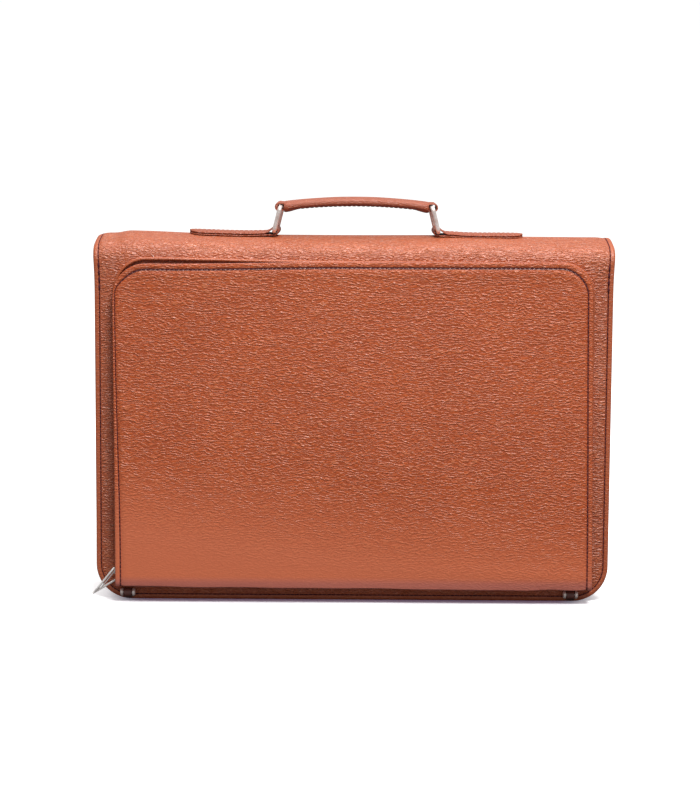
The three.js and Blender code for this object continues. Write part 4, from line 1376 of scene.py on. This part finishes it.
# The strap inside the grip: two layers that part at each end round a ring's upper bar. The bar lies
# tight against the left eye's outer side, and has a little play in the right one.
def strapLines():
    head, eye, leather, travel = (handle[key] for key in ("head", "eye", "strapLeather", "eyeTravel"))
    ramp = np.linspace(head, head - 7, 9)
    x = np.concatenate([-ramp, np.linspace(7 - head, head - 7, 34)[1:-1], ramp[::-1]])
    half = 0.1 + (eye - 0.1) * smoothStep((np.abs(x) - head + 7) / 7)
    angle = np.radians(np.linspace(90, -90, 19))[1:-1]
    turn = np.stack([np.cos(angle), np.sin(angle)], -1)

    def loop(radius, extra, leftTravel):
        top = np.stack([x, gripLine(x) - headHeight + half + extra], -1)
        low = np.stack([x[::-1], gripLine(x[::-1]) - headHeight - half[::-1] - extra], -1)
        right = [head + travel, 0] + radius * turn
        left = [-head - leftTravel, 0] - radius * turn
        return np.vstack([top, right, low, left]) + [handle["shift"], headHeight]

    return loop(eye + leather, leather, travel), loop(eye, 0.0, 0.0)


def handleStrapSolid():
    outer, inner = strapLines()
    thickness = np.linalg.norm(outer - inner, axis=1)
    middle, half = (outer + inner) / 2, handle["strapWidth"] / 2
    points, faces = strapSolid(middle, half, thickness, closed=True, place=(0, midDepth, 0))
    ahead = points[:, 0] - handle["shift"]
    return toedIn(points, np.sign(ahead), smoothStep((np.abs(ahead) - 51) / 4)), faces


addPiece("handleStrap", handleStrapSolid(), handleLeather, "handle", ("handle_strap",), sharp=60)


grip = {
    "half": 55.0,
    "width": 19.0,
    "height": 7.0,
    "squareness": 2.7,  # the section's power, 2 for an ellipse
    "seams": (118, 242),  # degrees round the section from its top
    "groove": (0.05, 0.09),  # depth as a share of the section, and half width in radians
    "underside": 0.93,
    "ends": (0.1, 0.3),  # how much both ends narrow, and over what length
    "swell": 0.015,
    "belly": (0.5, 41, 12),  # how much deeper the ends hang, where that starts, and over what length
    "stitchOut": 0.36,  # of the width
    "stitchDown": 0.43,  # of the height
    "facesDown": -0.62,  # faces whose normal's upright part is below this take the underside's painted shade
    "columns": 90,
    "sides": 48,
}


# Grip: a sleeve with a domed top, a flatter underside and a seam groove low on each flank.
def gripSolid():
    x = grip["half"] * np.linspace(-1, 1, grip["columns"])
    angle = np.linspace(0, 2 * math.pi, grip["sides"], endpoint=False)
    section = roundSection(grip["height"] / 2, grip["width"] / 2, grip["sides"], grip["squareness"])
    flank = np.min([np.abs(angle - math.radians(seamAngle)) for seamAngle in grip["seams"]], axis=0)
    depth, reach = grip["groove"]
    section = section * (1 - depth * np.exp(-(flank / reach) ** 2))[:, None]
    section[:, 0] = np.where(section[:, 0] < 0, section[:, 0] * grip["underside"], section[:, 0])
    narrowed, run = grip["ends"]
    ends = 1 - narrowed * np.exp((np.abs(x) - grip["half"]) / run)
    swell = 1 + grip["swell"] * np.sin(x / 6.3) * np.sin(x / 17)
    scale = (ends * swell)[:, None, None]
    deeper, start, run = grip["belly"]
    belly = 1 + deeper * smoothStep((np.abs(x) - start) / run)[:, None] * (section[None, :, 0] < 0)
    centre = np.stack([x + handle["shift"], np.full_like(x, midDepth), gripLine(x)], -1)
    section = section[None] * scale * np.stack([belly, np.ones_like(belly)], -1)
    return sweepSolid(centre, (0, 0, 1.0), (0, 1.0, 0), section)


gripPiece = addPiece(
    "handleGrip", gripSolid(), handleLeather, "handle", ("handle_grip",), sharp=60,
)
# Faces that point down take the darker leather, a painted shade.
gripPiece.data.materials.append(gripUnderShadeLeather)
facesDown = np.zeros(3 * len(gripPiece.data.polygons))
gripPiece.data.polygons.foreach_get("normal", facesDown)
gripPiece.data.polygons.foreach_set("material_index", (facesDown[2::3] < grip["facesDown"]).astype(int))


def gripStitches(side):
    x = np.linspace(2 - grip["half"], grip["half"] - 2, 120)
    y = midDepth + side * grip["width"] * grip["stitchOut"]
    z = gripLine(x) - grip["height"] * grip["stitchDown"]
    points = np.stack([x + handle["shift"], np.full_like(x, y), z], -1)
    return stitchSolid(points, (0, 0, -1.0), fineStitches)


addPiece("gripStitches", joinSolids([gripStitches(-1), gripStitches(1)]), thread, "handle")
print("handle made")


# feet

feet = {
    "shift": -2.2,
    "inset": 26.5,
    "lift": 6.3,
    "tail": 1.1,  # floor to the strap where it passes under the back
    "pin": 1.5,
    "cap": 3.1,
    "capLength": 2.5,
    "width": 6.0,
    "leather": 1.2,
    "reach": 26.0,
    "gap": 0.3,  # between the loops, their pins and the bag
}
loopRadius = feet["pin"] + feet["gap"] + feet["leather"]
pinDepth = -inset - feet["gap"] - max(feet["cap"], loopRadius)


# Loop round the pin: one turn of leather whose end runs under the back along the gusset.
def footStrapSolid(x):
    middle = loopRadius - feet["leather"] / 2
    angle = np.radians(np.linspace(-95, -445, 40))
    loop = np.stack([pinDepth + middle * np.cos(angle), feet["lift"] + middle * np.sin(angle)], -1)
    low = feet["tail"] + feet["leather"] / 2
    under = gusset["inset"] - feet["gap"] - feet["leather"] / 2
    bend = shell["leather"] + inset + feet["gap"]
    tail = [
        (-inset - feet["gap"], low + 0.2), (bend * 0.5, low), (bend + 0.7, low), (bend + 3.5, (low + under) / 2),
        (bend + 6, under), (feet["reach"] * 0.6, under), (feet["reach"], under),
    ]
    points, faces = strapSolid(np.vstack([loop, tail]), feet["width"] / 2, feet["leather"], 9)
    return np.stack([x + points[:, 1], points[:, 0], points[:, 2]], -1), faces


# Pin: a round bar with a low dome of a cap at each end.
def pinSolid(x):
    half = feet["width"] / 2 + feet["gap"]
    end = half + feet["capLength"]
    cap, pin = feet["cap"], feet["pin"]
    domed = [(0.3, 0.0), (0.62, 0.1), (0.86, 0.45), (0.97, 0.95), (1.0, 1.5)]  # share of the cap, depth from its end
    rounded = [(cap * share, end - depth) for share, depth in domed]
    rounded += [(cap * 0.98, half + 0.5), (cap * 0.88, half + 0.12), (cap * 0.7, half), (pin, half)]
    profile = rounded + [(r, -along) for r, along in rounded[::-1]]
    return turnedSolid(profile, (x, pinDepth, feet["lift"]))


for side, word in bothSides:
    x = feet["shift"] + side * (shell["width"] / 2 - feet["inset"])
    addPiece(
        f"footStrap{word.title()}", footStrapSolid(x), footLeather, "bag",
        (f"foot_strap_{word}",), sharp=60,
    )
    addPiece(f"footPin{word.title()}", pinSolid(x), ringMetal, "bag", (f"foot_pin_{word}",))
print("feet made")


# floor and light

studio = {
    "floor": 30.0,
    "floorSeen": (1, 1, 1, 1),
    "glowNear": (0.04, 0.025, 0.07, 1),  # lilac and kept low under the bag: a painted shadow tint, through which its lit shadow shows
    "print": (0.155, 0.03, 1.0),  # half sides of the rectangle that counts as under the bag, where the painted shadow lies
    "glowReach": (0.0, 0.055),
    "glowFar": (0.6, 0.6, 0.6, 1),
    "floorBounce": (0.2, 0.19, 0.2, 1),  # kept low, so that the bag's foot stays dark
    "world": 0.42,
    "worldSeen": 1.3,  # what the camera sees of it
}
lights = {
    "keyLight": {"place": (0.35, -1.05, 2.0), "size": 0.8, "power": 50.0},
    "topLight": {"place": (0.0, 0.25, 1.7), "size": 1.3, "power": 11.5},
}


def addFloor():
    half = studio["floor"]
    mesh = bpy.data.meshes.new("floor")
    mesh.from_pydata([(-half, -half, 0), (half, -half, 0), (half, half, 0), (-half, half, 0)], [], [(0, 1, 2, 3)])
    material, tree, surface = newMaterial("paleFloor")
    seen = addNode(tree, "ShaderNodeLightPath").outputs["Is Camera Ray"]
    tree.links.new(blendColours(tree, seen, studio["floorBounce"], studio["floorSeen"]), surface.inputs["Base Color"])
    apart = vectorMath(tree, "ABSOLUTE", objectPlace(tree)).outputs[0]
    past = vectorMath(tree, "SUBTRACT", apart, studio["print"]).outputs[0]
    past = vectorMath(tree, "MAXIMUM", past).outputs[0]
    away = remap(tree, vectorMath(tree, "LENGTH", past).outputs["Value"], *studio["glowReach"], smooth=True)
    # The camera sees the floor glow, dimmed to a lilac painted shadow round the bag.
    glow = blendColours(tree, away, studio["glowNear"], studio["glowFar"])
    tree.links.new(blendColours(tree, seen, (0, 0, 0, 1), glow), surface.inputs["Emission Color"])
    surface.inputs["Emission Strength"].default_value = 1.0
    surface.inputs["Roughness"].default_value = 0.85
    surface.inputs["Specular IOR Level"].default_value = 0.1
    mesh.materials.append(material)
    item = bpy.data.objects.new("floor", mesh)
    scene.collection.objects.link(item)


def addArea(name, look, target=(0, 0, 0.12)):
    data = bpy.data.lights.new(name, "AREA")
    data.size = look["size"]
    data.energy = look["power"]
    item = bpy.data.objects.new(name, data)
    scene.collection.objects.link(item)
    place = Vector(look["place"])
    turn = (Vector(target) - place).to_track_quat("-Z", "Y").to_matrix().to_4x4()
    item.matrix_world = Matrix.Translation(place) @ turn


def addWorld():
    world = bpy.data.worlds.new("studio")
    scene.world = world
    world.use_nodes = True
    tree = world.node_tree
    background = tree.nodes["Background"]
    seen = addNode(tree, "ShaderNodeLightPath").outputs["Is Camera Ray"]
    strength = mathOf(tree, "MULTIPLY_ADD", seen, studio["worldSeen"] - studio["world"], studio["world"])
    tree.links.new(strength, background.inputs["Strength"])
    background.inputs["Color"].default_value = (1, 1, 1, 1)


addFloor()
addWorld()
for name, look in lights.items():
    addArea(name, look)
scene.view_settings.view_transform = "Standard"
print("studio made")
